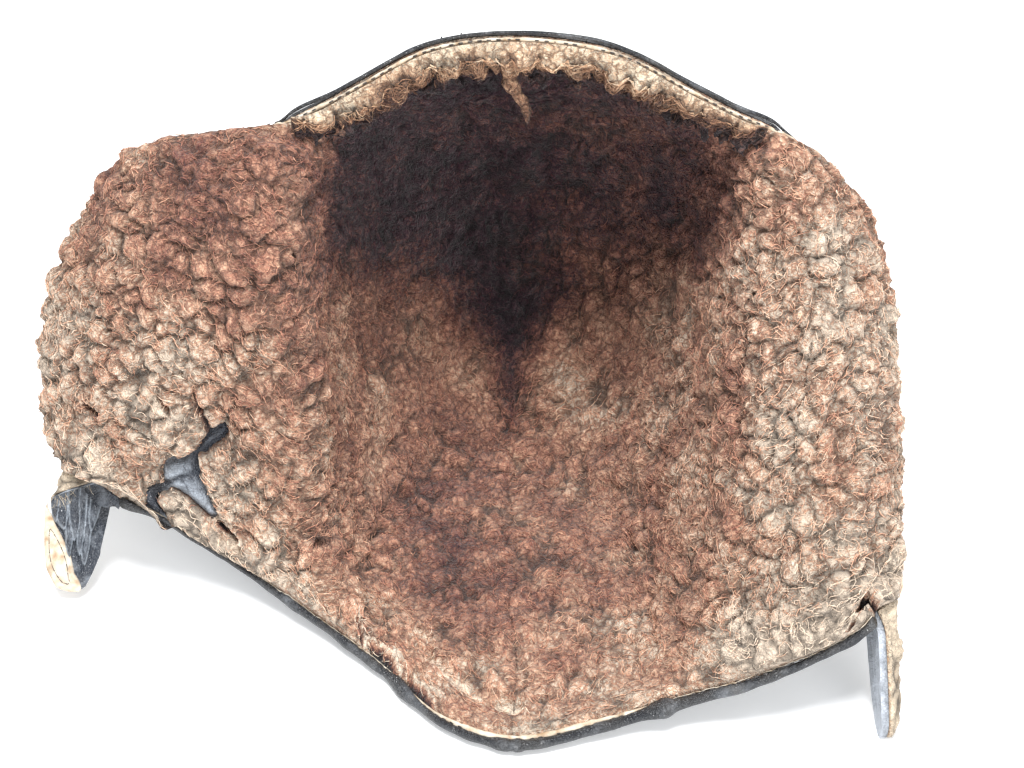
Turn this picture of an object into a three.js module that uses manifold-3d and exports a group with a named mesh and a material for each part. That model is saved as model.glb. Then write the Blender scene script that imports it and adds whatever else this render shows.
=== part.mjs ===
// A leather flying helmet with a sheepskin lining, lying on the back of its crown: the head
// opening faces forward (-Y) and a little up, the crown lies behind it, and both cheek flaps
// have fallen open to the sides, so that their chin tabs stand on the table.
// Millimetres, +Z up, the table is z = 0, and the nape lies at the middle of the front.
import * as THREE from "three";
import { mergeVertices } from "three/addons/utils/BufferGeometryUtils.js";
import Module from "manifold-3d";

const wasm = await Module();
wasm.setup();
const { lerp, clamp, degToRad } = THREE.MathUtils;

// Driving dimensions of the helmet.
const BROW_TO_NAPE = 250; // across the head opening, from the brow edge to the nape edge
const HEAD_HALF_WIDTH = 84; // from the centre line to the leather beside the ear
const CROWN_DEPTH = 146; // from the plane of the opening to the deepest point of the crown
const LEAN_DEG = 32; // how far the plane of the opening leans back from upright
const LEFT_FLAP_REACH = 90; // how far each opened flap stands out beyond the side of the head
const RIGHT_FLAP_REACH = 56;
const CROWN_STRIP_WIDTH = 44; // the strip between the two side panels
const BAND_SPAN = 0.45; // share of the way from corner to corner that the brow band covers
const CHIN_TAB_WIDTH = 25;
const LEFT_TAB_TWIST_DEG = 85; // how far each chin tab turns between its root and its tip
const RIGHT_TAB_TWIST_DEG = -12;
const TEAR_LENGTH = 25; // longest arm of the star-shaped tear in the left lining
const SLIT_LENGTH = 9; // the small hole above it
const SLIT_WIDTH = 3;

// Thicknesses and clearances.
const LEATHER = 1.6; // outer skin
const FLEECE = 9; // lining, hide and wool together
const FLEECE_AT_EDGE = 4.5; // lining where it meets the bound edges
const TUFT_RELIEF = 2.4; // height of the curls over the valleys between them
const BAND_BED = 3; // lining pressed flat under the brow band
const BAND_FLEECE = 7; // the turned-in brow band itself
const BROW_ROLL = 1.3; // radius of the bound leather edge round the face
const NECK_ROLL = 1.7; // radius of the rolled leather edge round the neck
const TAB_LEATHER = 2.6; // chin tab, leather folded double
const TAB_WRINKLE = 0.8; // height of the folds along a chin tab
const TAB_FLEECE = 5;
const LAYER_GAP = 0.3; // between the leather and the back of the lining
const SEAM_GAP = 0.4; // between two pieces that meet at a seam
const BAND_GAP = 0.6; // between the pressed lining and the brow band
const EDGE_GAP = 0.7; // between the panels' edges and the rolled leather round them
const TAB_GAP = 0.8; // between a flap's corner and the root of its chin tab
const REST_BLEND = 6; // height over which the leather eases down to the flat it rests on

// Sections of the skin from the front (face) edge over the middle to the neck edge, in the
// frame of the opening. Each point is [across, up, deep]. Across counts 0 to 1 from the centre
// line to the side of the head, and 1 to 2 over the opened flap. Up is a share of half the
// opening, from its centre. Deep is a share of the crown's depth. Round is 1 where a section
// bows like half an ellipse and 0 where it is a shallow arc, and sink is how much deeper the
// half towards the neck lies, where the fold beside the ear fades out.
const SEAM_ROW = {
  name: "seam", front: [0, 0.94, 0], middle: [0, 0.16, 1], neck: [0, -1, 0], round: 1, sink: 0,
};
const RIGHT_ROWS = [
  { name: "quarter", front: [0.43, 0.9, 0], middle: [0.42, 0.15, 0.95], neck: [0.38, -0.95, 0.03],
    round: 1, sink: 0 },
  { name: "side", front: [0.74, 0.795, 0], middle: [0.77, 0.13, 0.74], neck: [0.62, -0.9, 0.04],
    round: 0.95, sink: -0.02 },
  { name: "wall", front: [0.95, 0.725, 0.01], middle: [0.95, 0.1, 0.4], neck: [0.8, -0.86, 0.03],
    round: 0.8, sink: -0.03 },
  { name: "ridge", front: [1.17, 0.68, 0.03], middle: [1.07, 0, 0.05], neck: [0.98, -0.82, 0.01],
    round: 0.5, sink: 0.13 },
  { name: "lapel", front: [1.42, 0.58, 0.08], middle: [1.34, 0.02, -0.03], neck: [1.21, -0.77, -0.01],
    round: 0.3, sink: 0.1 },
  { name: "fold", front: [1.66, 0.4, 0.22], middle: [1.66, 0, 0.06], neck: [1.45, -0.72, -0.02],
    round: 0.2, sink: 0.03 },
  { name: "cheek", front: [1.78, 0.03, 0.34], middle: [1.8, -0.2, 0.2], neck: [1.62, -0.68, -0.03],
    round: 0.1, sink: 0 },
  { name: "root", front: [1.78, -0.52, 0.17], middle: [1.77, -0.57, 0.07], neck: [1.72, -0.64, -0.03],
    round: 0, sink: 0 },
];
const LEFT_ROWS = [
  { name: "quarter", front: [0.34, 0.91, 0], middle: [0.42, 0.15, 0.95], neck: [0.3, -0.95, 0.06],
    round: 1, sink: 0 },
  { name: "side", front: [0.62, 0.815, 0], middle: [0.77, 0.13, 0.75], neck: [0.54, -0.84, 0.2],
    round: 0.95, sink: -0.02 },
  { name: "wall", front: [0.8, 0.75, 0.01], middle: [0.92, 0.12, 0.44], neck: [0.76, -0.74, 0.29],
    round: 0.8, sink: -0.04 },
  { name: "ridge", front: [0.98, 0.7, 0.03], middle: [0.96, 0.05, 0.12], neck: [0.97, -0.65, 0.36],
    round: 0.5, sink: 0.16 },
  { name: "lapel", front: [1.2, 0.67, 0.1], middle: [1.2, 0.15, 0.09], neck: [1.18, -0.55, 0.4],
    round: 0.3, sink: 0.13 },
  { name: "fold", front: [1.52, 0.62, 0.24], middle: [1.57, 0.18, 0.2], neck: [1.37, -0.47, 0.4],
    round: 0.2, sink: 0.07 },
  { name: "cheek", front: [1.8, 0.3, 0.46], middle: [1.83, 0.04, 0.42], neck: [1.53, -0.4, 0.38],
    round: 0.1, sink: 0 },
  { name: "root", front: [1.9, -0.18, 0.57], middle: [1.87, -0.25, 0.48], neck: [1.66, -0.36, 0.36],
    round: 0, sink: 0 },
];
// Where the tip of each chin tab stands on the table, given like the points above.
const RIGHT_TAB_TIP = [1.82, -0.98, 0.04];
const LEFT_TAB_TIP = [1.85, -0.64, 0.47];

// Arms and notches of the tear, going round: the direction, and the reach as a share of the
// longest arm.
const TEAR_ARMS = [
  { turn: 0, reach: 0.42 },
  { turn: 38, reach: 0.62 },
  { turn: 62, reach: 0.42 },
  { turn: 92, reach: 0.8 },
  { turn: 128, reach: 0.44 },
  { turn: 178, reach: 0.78 },
  { turn: 222, reach: 0.4 },
  { turn: 286, reach: 1 },
  { turn: 318, reach: 0.42 },
];
// Places on the left panel: across from its seam edge to its corner, t from face to neck.
const TEAR_PLACE = { across: 0.66, t: 0.79 };
const SLIT_PLACE = { across: 0.69, t: 0.68 };

// A point of the opening's own frame, set on the table.
const lean = degToRad(LEAN_DEG);
const halfOpening = BROW_TO_NAPE / 2;
function placed([across, up, deep], side) {
  const reach = side < 0 ? LEFT_FLAP_REACH : RIGHT_FLAP_REACH;
  const x = Math.min(across, 1) * HEAD_HALF_WIDTH + Math.max(across - 1, 0) * reach;
  const rise = halfOpening * (1 + up);
  const depth = deep * CROWN_DEPTH;
  return new THREE.Vector3(
    side * x,
    rise * Math.sin(lean) + depth * Math.cos(lean),
    LEATHER + rise * Math.cos(lean) - depth * Math.sin(lean),
  );
}
const intoCrown = new THREE.Vector3(0, Math.cos(lean), -Math.sin(lean));

// The guide lines run from the left flap's corner over the head to the right flap's corner.
const ROWS = [
  ...[...LEFT_ROWS].reverse().map((row) => ({ row, side: -1 })),
  { row: SEAM_ROW, side: 1 },
  ...RIGHT_ROWS.map((row) => ({ row, side: 1 })),
];
const guideLine = (place) =>
  new THREE.CatmullRomCurve3(ROWS.map(({ row, side }) => placed(row[place], side)));
const frontLine = guideLine("front");
const middleLine = guideLine("middle");
const neckLine = guideLine("neck");
function columnAt(s, column) {
  const at = s * (ROWS.length - 1);
  const first = Math.min(Math.floor(at), ROWS.length - 2);
  return lerp(ROWS[first].row[column], ROWS[first + 1].row[column], at - first);
}

// The inner face of the leather: s runs from the left corner (0) to the right one (1), t from
// the front edge (0) to the neck edge (1).
function skin(s, t) {
  const front = frontLine.getPoint(s);
  const middle = middleLine.getPoint(s);
  const neck = neckLine.getPoint(s);
  const centre = front.clone().add(neck).multiplyScalar(0.5);
  const round = columnAt(s, "round");
  const along = lerp(1 - 2 * t, Math.cos(Math.PI * t), round);
  const bow = lerp(4 * t * (1 - t), Math.sin(Math.PI * t), round);
  const sunk = columnAt(s, "sink") * CROWN_DEPTH * Math.sin(Math.PI * t * t);
  const point = centre
    .clone()
    .addScaledVector(front.sub(centre), along)
    .addScaledVector(middle.sub(centre), bow)
    .addScaledVector(intoCrown, sunk);
  point.z = restedHeight(point.z);
  return point;
}
function restedHeight(z) {
  if (z > LEATHER + REST_BLEND) return z;
  if (z < LEATHER - REST_BLEND) return LEATHER;
  const share = (z - LEATHER + REST_BLEND) / (2 * REST_BLEND);
  return LEATHER + REST_BLEND * share * share;
}

// The skin's directions at a point, along s, towards the neck edge, and out of the leather.
function frameAt(s, t) {
  const step = 1e-3;
  const sLow = Math.max(0, s - step);
  const sHigh = Math.min(1, s + step);
  const alongS = skin(sHigh, t).sub(skin(sLow, t));
  const alongT = skin(s, Math.min(1, t + step)).sub(skin(s, Math.max(0, t - step)));
  return {
    point: skin(s, t),
    sPerMillimetre: (sHigh - sLow) / alongS.length(),
    out: alongS.clone().cross(alongT).normalize(),
    alongS: alongS.normalize(),
    alongT: alongT.normalize(),
  };
}
function offsetSkin(s, t, distance) {
  const { point, out } = frameAt(s, t);
  return point.addScaledVector(out, distance);
}

// A closed solid between two grids of points. The near grid is finer than the far one by a
// whole factor, and a row of triangles round the rim joins them.
function gridSolid(farPoint, nearPoint, sCells, tCells, finer = 1) {
  const positions = [];
  const index = [];
  function addFace(pointAt, cellsS, cellsT, flip) {
    const start = positions.length / 3;
    for (let j = 0; j <= cellsT; j++)
      for (let i = 0; i <= cellsS; i++) positions.push(...pointAt(i / cellsS, j / cellsT));
    const at = (i, j) => start + j * (cellsS + 1) + i;
    for (let j = 0; j < cellsT; j++)
      for (let i = 0; i < cellsS; i++) {
        const ring = [at(i, j), at(i + 1, j), at(i + 1, j + 1), at(i, j + 1)];
        if (flip) ring.reverse();
        if ((i + j) % 2 !== Number(flip)) ring.push(ring.shift());
        index.push(ring[0], ring[1], ring[2], ring[0], ring[2], ring[3]);
      }
    const rim = [];
    for (let i = 0; i < cellsS; i++) rim.push(at(i, 0));
    for (let j = 0; j < cellsT; j++) rim.push(at(cellsS, j));
    for (let i = cellsS; i > 0; i--) rim.push(at(i, cellsT));
    for (let j = cellsT; j > 0; j--) rim.push(at(0, j));
    return rim;
  }
  const farRim = addFace(farPoint, sCells, tCells, false);
  const nearRim = addFace(nearPoint, sCells * finer, tCells * finer, true);
  farRim.forEach((a, k) => {
    const b = farRim[(k + 1) % farRim.length];
    const near = (n) => nearRim[(k * finer + n) % nearRim.length];
    for (let n = 0; n < finer; n++) index.push(a, near(n), near(n + 1));
    index.push(a, near(finer), b);
  });
  return meshOf(positions, index);
}
function meshOf(positions, index) {
  const geometry = new THREE.BufferGeometry();
  geometry.setAttribute("position", new THREE.Float32BufferAttribute(positions, 3));
  geometry.setIndex(index);
  return geometry;
}

// Panels of the skin. The crown strip keeps its width over the head and then narrows to a
// point, where the two side panels meet in one seam that runs to the nape.
const T_CELLS = 20;
const SIDE_CELLS = 15;
const STRIP_CELLS = 2;
const STRIP_NARROWS_ROW = 9; // rows of cells, counted from the brow
const STRIP_POINT_ROW = 13;
const STRIP_TIP_HALF = 0.8; // half the width of the strip's blunt point
const MIDDLE_S = 0.5;
function stripHalfWidth(t) {
  const share = (STRIP_POINT_ROW - t * T_CELLS) / (STRIP_POINT_ROW - STRIP_NARROWS_ROW);
  return Math.max((CROWN_STRIP_WIDTH / 2) * clamp(share, 0, 1), STRIP_TIP_HALF);
}
function panelS(side, across, t) {
  const pastStrip = t * T_CELLS > STRIP_POINT_ROW;
  const half = pastStrip ? SEAM_GAP / 2 : stripHalfWidth(t) + SEAM_GAP;
  const seamEdge = half * frameAt(MIDDLE_S, t).sPerMillimetre;
  return MIDDLE_S + side * lerp(seamEdge, MIDDLE_S, across);
}
function stripS(across, t) {
  return MIDDLE_S + stripHalfWidth(t) * (2 * across - 1) * frameAt(MIDDLE_S, t).sPerMillimetre;
}
const STRIP_END = STRIP_POINT_ROW / T_CELLS;
const panelAcross = (side, i) => (side < 0 ? 1 - i : i);

function leatherPanel(side) {
  const face = (distance) => (i, t) => offsetSkin(panelS(side, panelAcross(side, i), t), t, distance);
  return gridSolid(face(LEATHER), face(0), SIDE_CELLS, T_CELLS);
}
function leatherStrip() {
  const face = (distance) => (i, j) => offsetSkin(stripS(i, j * STRIP_END), j * STRIP_END, distance);
  return gridSolid(face(LEATHER), face(0), STRIP_CELLS, STRIP_POINT_ROW);
}

// The lining. Its wool stands in curls: every second point of the inner face is raised, each by
// its own amount. It thins out towards the bound edges and lies flat under the brow band.
const BAND_FROM = (1 - BAND_SPAN) / 2;
const BAND_ROWS = 1; // rows of cells under the band, counted from the brow
const BED_ROWS = 1.25; // rows of cells that are pressed flat
const BED_MARGIN = 0.04; // how far the pressed lining runs on past the band's ends
const EDGE_ROWS = 1.5; // rows of cells over which the lining reaches its full thickness
const CORNER_SHARE = 0.5; // how far the lining has thickened at the very end of a flap
function liningDepth(s, t, curl, seamShare) {
  const row = t * T_CELLS;
  const underBand = Math.abs(s - MIDDLE_S) < BAND_SPAN / 2 + BED_MARGIN;
  if (underBand && row < BED_ROWS) return BAND_BED;
  const fromEdge = underBand ? row - BAND_ROWS : row;
  const fromCorner = Math.min(s, 1 - s) * SIDE_CELLS * 2;
  const toEdge = Math.min(fromEdge, T_CELLS - row) / EDGE_ROWS;
  const full = clamp(Math.min(toEdge, CORNER_SHARE + fromCorner), 0, 1);
  const relief = TUFT_RELIEF * full * seamShare * (curl - 0.5);
  return lerp(FLEECE_AT_EDGE, FLEECE, full) + relief;
}
// Raised and sunk points alternate, and each departs from its level by a scattered amount. The
// three scatter numbers have no meaning: they only have to be irregular.
const CURL_SCATTER = 0.35;
const SCATTER_ACROSS = 12.9898;
const SCATTER_DOWN = 78.233;
const SCATTER_SPREAD = 43758.5453;
function curlHeight(i, j) {
  const scatter = Math.sin(i * SCATTER_ACROSS + j * SCATTER_DOWN) * SCATTER_SPREAD;
  const own = scatter - Math.floor(scatter);
  return (i + j) % 2 ? 1 - CURL_SCATTER * (1 - own) : CURL_SCATTER * own;
}
const FINER = 2;
function liningFaces(sAt, tAt, cellsS, cellsT, seamSides) {
  const far = (i, j) => offsetSkin(sAt(i, tAt(j)), tAt(j), -LAYER_GAP);
  const near = (i, j) => {
    const t = tAt(j);
    const s = sAt(i, t);
    const curl = curlHeight(Math.round(i * cellsS * FINER), Math.round(j * cellsT * FINER));
    const toSeam = Math.min(...seamSides.map((seam) => Math.abs(i - seam))) * cellsS * FINER;
    return offsetSkin(s, t, -LAYER_GAP - liningDepth(s, t, curl, clamp(toSeam, 0, 1)));
  };
  return gridSolid(far, near, cellsS, cellsT, FINER);
}
function liningPanel(side) {
  const sAt = (i, t) => panelS(side, panelAcross(side, i), t);
  return liningFaces(sAt, (j) => j, SIDE_CELLS, T_CELLS, [side < 0 ? 1 : 0]);
}
function liningStrip() {
  return liningFaces(stripS, (j) => j * STRIP_END, STRIP_CELLS, STRIP_POINT_ROW, [0, 1]);
}

// The brow band: a turned-in roll of fleece along the brow, on the pressed lining.
const BAND_CELLS = 22;
const BAND_STEPS = 3;
const BAND_LIP = 0.45; // share of the band's thickness that is left along its two edges
const BAND_ROUND_FROM = 0.12; // share of a half circle that is cut off at each edge
const BAND_END = 0.4; // share of the thickness at its two ends
const BAND_CURL = 0.3; // share of the thickness by which the curls differ
function browBand() {
  const bed = LAYER_GAP + BAND_BED + BAND_GAP;
  const tEnd = BAND_ROWS / T_CELLS;
  const sAt = (i) => lerp(BAND_FROM, 1 - BAND_FROM, i);
  const far = (i, j) => offsetSkin(sAt(i), j * tEnd, -bed);
  const near = (i, j) => {
    const arch = Math.sin(Math.PI * lerp(BAND_ROUND_FROM, 1 - BAND_ROUND_FROM, j));
    const ends = clamp(Math.min(i, 1 - i) * BAND_CELLS, BAND_END, 1);
    const curl = curlHeight(Math.round(i * BAND_CELLS), Math.round(j * BAND_STEPS));
    const thickness = BAND_FLEECE * lerp(BAND_LIP, 1, arch) * ends * (1 + BAND_CURL * (curl - 0.5));
    return offsetSkin(sAt(i), j * tEnd, -bed - thickness);
  };
  return gridSolid(far, near, BAND_CELLS, BAND_STEPS);
}

// A rolled leather edge: a thin bar along one edge of the skin, one gap beyond the panels.
const ROLL_SIDES = 6;
function edgeStations(t) {
  const left = Array.from({ length: SIDE_CELLS + 1 }, (_, k) => panelS(-1, 1 - k / SIDE_CELLS, t));
  const right = Array.from({ length: SIDE_CELLS + 1 }, (_, k) => panelS(1, k / SIDE_CELLS, t));
  return [...left, MIDDLE_S, ...right];
}
const ROLL_EASE = 0.05; // how far along s the roll's direction is averaged
function edgeDirection(s, t) {
  const near = [s - ROLL_EASE, s, s + ROLL_EASE].map((at) => frameAt(clamp(at, 0, 1), t).alongT);
  return near[0].add(near[1]).add(near[2]).normalize();
}
function rolledEdge(t, radius) {
  const away = t === 0 ? -1 : 1;
  const stations = edgeStations(t);
  const positions = [];
  const index = [];
  for (const s of stations) {
    const { point, out } = frameAt(s, t);
    const alongT = edgeDirection(s, t);
    const centre = point
      .addScaledVector(alongT, away * (radius + EDGE_GAP))
      .addScaledVector(out, LEATHER - radius);
    for (let k = 0; k < ROLL_SIDES; k++) {
      const turn = (2 * Math.PI * (k + 0.5)) / ROLL_SIDES;
      const corner = centre
        .clone()
        .addScaledVector(alongT, radius * Math.sin(turn))
        .addScaledVector(out, radius * Math.cos(turn));
      positions.push(...corner);
    }
  }
  const last = (stations.length - 1) * ROLL_SIDES;
  for (let i = 0; i < stations.length - 1; i++)
    for (let k = 0; k < ROLL_SIDES; k++) {
      const a = i * ROLL_SIDES + k;
      const b = i * ROLL_SIDES + ((k + 1) % ROLL_SIDES);
      index.push(a, b + ROLL_SIDES, b, a, a + ROLL_SIDES, b + ROLL_SIDES);
    }
  for (let k = 1; k < ROLL_SIDES - 1; k++) {
    index.push(0, k, k + 1);
    index.push(last, last + k + 1, last + k);
  }
  return meshOf(positions, index);
}

// A chin tab hangs from a flap's corner to the table and turns near its root. Its leather is
// folded lengthways into wrinkles, and its fleece backs it.
const TAB_ACROSS = 6;
const TAB_DOWN = 6;
const TAB_TURNED_AT = 0.3; // share of the tab's length at which its turn is complete
const TAB_TIP_WIDTH = 0.45; // share of the width that is left at the tip
const TAB_WRINKLES = 3;
function tabPoint(side, i, j, distance) {
  const end = side < 0 ? 0 : 1;
  const middle = frameAt(end, 0.5);
  const root = middle.point.clone().addScaledVector(middle.alongS, side * TAB_GAP);
  const tip = placed(side < 0 ? LEFT_TAB_TIP : RIGHT_TAB_TIP, side);
  const hang = tip.clone().sub(root).normalize();
  const twistDeg = side < 0 ? LEFT_TAB_TWIST_DEG : RIGHT_TAB_TWIST_DEG;
  const straight = (share, turned) =>
    root
      .clone()
      .lerp(tip, share)
      .addScaledVector(
        middle.alongT.clone().applyAxisAngle(hang, degToRad(twistDeg) * turned),
        CHIN_TAB_WIDTH * (i - 0.5) * lerp(1, TAB_TIP_WIDTH, share * share),
      )
      .addScaledVector(middle.out.clone().applyAxisAngle(hang, degToRad(twistDeg) * turned), distance);
  const turned = Math.sin((Math.PI / 2) * clamp(j / TAB_TURNED_AT, 0, 1));
  const rim = frameAt(end, 0.5 + ((i - 0.5) * CHIN_TAB_WIDTH) / cornerWidth(end));
  const seat = rim.point.addScaledVector(rim.alongS, side * TAB_GAP).addScaledVector(rim.out, distance);
  const point = straight(j, turned).addScaledVector(seat.sub(straight(0, 0)), 1 - turned);
  point.z = Math.max(point.z, 0);
  return point;
}
function cornerWidth(end) {
  return skin(end, 0).distanceTo(skin(end, 1));
}
function tabLayer(side, outer, inner, fold) {
  const ripple = (i, j) => fold * Math.sin(Math.PI * j) * Math.cos(2 * Math.PI * TAB_WRINKLES * i);
  const across = (i) => (side < 0 ? i : 1 - i);
  return gridSolid(
    (i, j) => tabPoint(side, across(i), j, outer + ripple(across(i), j)),
    (i, j) => tabPoint(side, across(i), j, inner),
    TAB_ACROSS,
    TAB_DOWN,
  );
}
const chinTab = (side) => tabLayer(side, TAB_LEATHER, 0, TAB_WRINKLE);
const tabLining = (side) => tabLayer(side, -LAYER_GAP, -LAYER_GAP - TAB_FLEECE, 0);

// The tear and the slit are cut through the left lining down to the leather.
const SAME_POINT = 1e-4; // points nearer than this are one
function solidOf(geometry) {
  const bare = geometry.clone();
  bare.deleteAttribute("normal");
  bare.deleteAttribute("uv");
  const merged = mergeVertices(bare, SAME_POINT);
  return new wasm.Manifold(
    new wasm.Mesh({
      numProp: 3,
      vertProperties: Float32Array.from(merged.getAttribute("position").array),
      triVerts: Uint32Array.from(merged.index.array),
    }),
  );
}
function geometryOf(solid) {
  const { vertProperties, triVerts } = solid.getMesh();
  return meshOf(Array.from(vertProperties), Array.from(triVerts));
}
function cutterAt({ across, t }, shape) {
  const s = panelS(-1, across, t);
  const { point, out, alongT } = frameAt(s, t);
  const up = alongT.clone().negate();
  const pastCurls = 2 * (FLEECE + TUFT_RELIEF);
  const cutter = new THREE.ExtrudeGeometry(shape, { depth: pastCurls, bevelEnabled: false });
  const basis = new THREE.Matrix4().makeBasis(up.clone().cross(out).negate(), up, out.clone().negate());
  basis.setPosition(point);
  return solidOf(cutter.applyMatrix4(basis));
}
function tearShape() {
  const arms = TEAR_ARMS.map(({ turn, reach }) => {
    const angle = degToRad(turn);
    return new THREE.Vector2(Math.cos(angle), Math.sin(angle)).multiplyScalar(reach * TEAR_LENGTH);
  });
  return new THREE.Shape(arms);
}
function slitShape() {
  const shape = new THREE.Shape();
  shape.absellipse(0, 0, SLIT_WIDTH / 2, SLIT_LENGTH / 2, 0, 2 * Math.PI);
  return shape;
}
function tornLining() {
  const whole = solidOf(liningPanel(-1));
  const torn = whole.subtract(cutterAt(TEAR_PLACE, tearShape()));
  return geometryOf(torn.subtract(cutterAt(SLIT_PLACE, slitShape())));
}

// Finishes. The wool is dark in the hollow of the crown and pale along the brow and the tabs.
const blackLeather = { color: 0x26282c, roughness: 0.5 };
const boundLeather = { color: 0x303237, roughness: 0.42 };
const wornLeather = { color: 0x3c4149, roughness: 0.55 };
const flapWool = { color: 0x8a5640, roughness: 1 };
const crownWool = { color: 0x6e4034, roughness: 1 };
const browWool = { color: 0xae8468, roughness: 1 };
const tabWool = { color: 0xcdb08c, roughness: 1 };

const helmet = new THREE.Group();
function piece(name, geometry, finish) {
  const mesh = new THREE.Mesh(geometry, new THREE.MeshStandardMaterial({ ...finish, metalness: 0 }));
  mesh.name = name;
  helmet.add(mesh);
}
piece("leather_left", leatherPanel(-1), blackLeather);
piece("leather_right", leatherPanel(1), blackLeather);
piece("leather_strip", leatherStrip(), blackLeather);
piece("fleece_left", tornLining(), flapWool);
piece("fleece_right", liningPanel(1), flapWool);
piece("fleece_strip", liningStrip(), crownWool);
piece("brow_band", browBand(), browWool);
piece("face_binding", rolledEdge(0, BROW_ROLL), boundLeather);
piece("neck_binding", rolledEdge(1, NECK_ROLL), boundLeather);
piece("chin_tab_left", chinTab(-1), wornLeather);
piece("chin_tab_right", chinTab(1), wornLeather);
piece("chin_tab_fleece_left", tabLining(-1), tabWool);
piece("chin_tab_fleece_right", tabLining(1), tabWool);

// The origin is on the table, at the middle of the helmet's footprint.
const footprint = new THREE.Box3().setFromObject(helmet);
const middle = footprint.getCenter(new THREE.Vector3());
helmet.position.set(-middle.x, -middle.y, -footprint.min.z);

export default helmet;
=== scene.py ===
# %% [markdown]
# # A leather flying helmet with a sheepskin lining
# The helmet lies on the back of its crown, with its head opening towards us, so that most of
# what shows is wool. Its cheek flaps have fallen open to the sides.
# The frame holds plain solids of the helmet's pieces at their true size and place. Each cell
# below dresses one of them, and this first cell loads them.

import math
from collections import namedtuple
from itertools import product

import bpy
import numpy as np
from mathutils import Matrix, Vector


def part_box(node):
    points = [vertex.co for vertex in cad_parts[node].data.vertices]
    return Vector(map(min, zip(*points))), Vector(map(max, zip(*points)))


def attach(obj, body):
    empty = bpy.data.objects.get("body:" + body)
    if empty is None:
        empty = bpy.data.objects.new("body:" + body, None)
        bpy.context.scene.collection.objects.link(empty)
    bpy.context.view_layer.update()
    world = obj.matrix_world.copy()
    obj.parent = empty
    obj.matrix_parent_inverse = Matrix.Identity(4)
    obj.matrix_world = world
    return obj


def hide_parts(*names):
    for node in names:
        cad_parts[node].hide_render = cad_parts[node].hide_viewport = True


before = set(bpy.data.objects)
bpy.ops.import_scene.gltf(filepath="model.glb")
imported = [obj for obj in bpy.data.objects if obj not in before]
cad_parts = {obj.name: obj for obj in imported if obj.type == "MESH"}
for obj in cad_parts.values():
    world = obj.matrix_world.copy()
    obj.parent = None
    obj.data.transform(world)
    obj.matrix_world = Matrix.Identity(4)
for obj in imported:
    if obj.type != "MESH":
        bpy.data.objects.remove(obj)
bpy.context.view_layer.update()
print("pieces in the frame:", sorted(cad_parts))

# %% [markdown]
# ## The shape that everything follows
# A flying helmet is cut from a few leather panels. Sewn together they make one curved skin, and
# the lining, the bindings and the tabs all follow that skin. So the skin is written once, as a
# function of two numbers: s runs from the left flap's corner over the head to the right one, and
# t runs from the face edge to the neck edge. Every piece below asks it for points.
# It is a loft, like a sail stretched over ribs. A short table gives each rib three points, and
# smooth curves join the first, the middle and the last points of all ribs.
# Shapes are worked out in millimetres, and become metres when a mesh is made.

# %% Sizes of the skin
BROW_TO_NAPE = 250.0
HEAD_HALF_WIDTH = 84.0
CROWN_DEPTH = 146.0
LEAN = math.radians(32)
LEFT_FLAP_REACH = 90.0
RIGHT_FLAP_REACH = 56.0
LEATHER = 1.6
MIDDLE_S = 0.5

# Each rib's points are [across, up, deep]: shares of the half width, of half the opening and of
# the crown's depth. Across counts from 1 to 2 over a flap. Round is how far a rib bows like half
# an ellipse, and sink how much deeper its half towards the neck lies.
Rib = namedtuple("Rib", "face middle neck round sink")
SEAM_RIB = Rib((0, 0.94, 0), (0, 0.16, 1), (0, -1, 0), 1, 0)
RIGHT_RIBS = [
    Rib((0.43, 0.9, 0), (0.42, 0.15, 0.95), (0.38, -0.95, 0.03), 1, 0),
    Rib((0.74, 0.795, 0), (0.77, 0.13, 0.74), (0.62, -0.9, 0.04), 0.95, -0.02),
    Rib((0.95, 0.725, 0.01), (0.95, 0.1, 0.4), (0.8, -0.86, 0.03), 0.8, -0.03),
    Rib((1.17, 0.68, 0.03), (1.07, 0, 0.05), (0.98, -0.82, 0.01), 0.5, 0.13),
    Rib((1.42, 0.58, 0.08), (1.34, 0.02, -0.03), (1.21, -0.77, -0.01), 0.3, 0.1),
    Rib((1.66, 0.4, 0.22), (1.66, 0, 0.06), (1.45, -0.72, -0.02), 0.2, 0.03),
    Rib((1.78, 0.03, 0.34), (1.8, -0.2, 0.2), (1.62, -0.68, -0.03), 0.1, 0),
    Rib((1.78, -0.52, 0.17), (1.77, -0.57, 0.07), (1.72, -0.64, -0.03), 0, 0),
]
LEFT_RIBS = [
    Rib((0.34, 0.91, 0), (0.42, 0.15, 0.95), (0.3, -0.95, 0.06), 1, 0),
    Rib((0.62, 0.815, 0), (0.77, 0.13, 0.75), (0.54, -0.84, 0.2), 0.95, -0.02),
    Rib((0.8, 0.75, 0.01), (0.92, 0.12, 0.44), (0.76, -0.74, 0.29), 0.8, -0.04),
    Rib((0.98, 0.7, 0.03), (0.96, 0.05, 0.12), (0.97, -0.65, 0.36), 0.5, 0.16),
    Rib((1.2, 0.67, 0.1), (1.2, 0.15, 0.09), (1.18, -0.55, 0.4), 0.3, 0.13),
    Rib((1.52, 0.62, 0.24), (1.57, 0.18, 0.2), (1.37, -0.47, 0.4), 0.2, 0.07),
    Rib((1.8, 0.3, 0.46), (1.83, 0.04, 0.42), (1.53, -0.4, 0.38), 0.1, 0),
    Rib((1.9, -0.18, 0.57), (1.87, -0.25, 0.48), (1.66, -0.36, 0.36), 0, 0),
]
RIBS = [(rib, -1) for rib in reversed(LEFT_RIBS)]
RIBS += [(SEAM_RIB, 1)]
RIBS += [(rib, 1) for rib in RIGHT_RIBS]
INTO_CROWN = np.array([0, math.cos(LEAN), -math.sin(LEAN)])
UP_THE_OPENING = np.array([0, math.sin(LEAN), math.cos(LEAN)])
print(len(RIBS), "ribs, with three points each")

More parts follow.
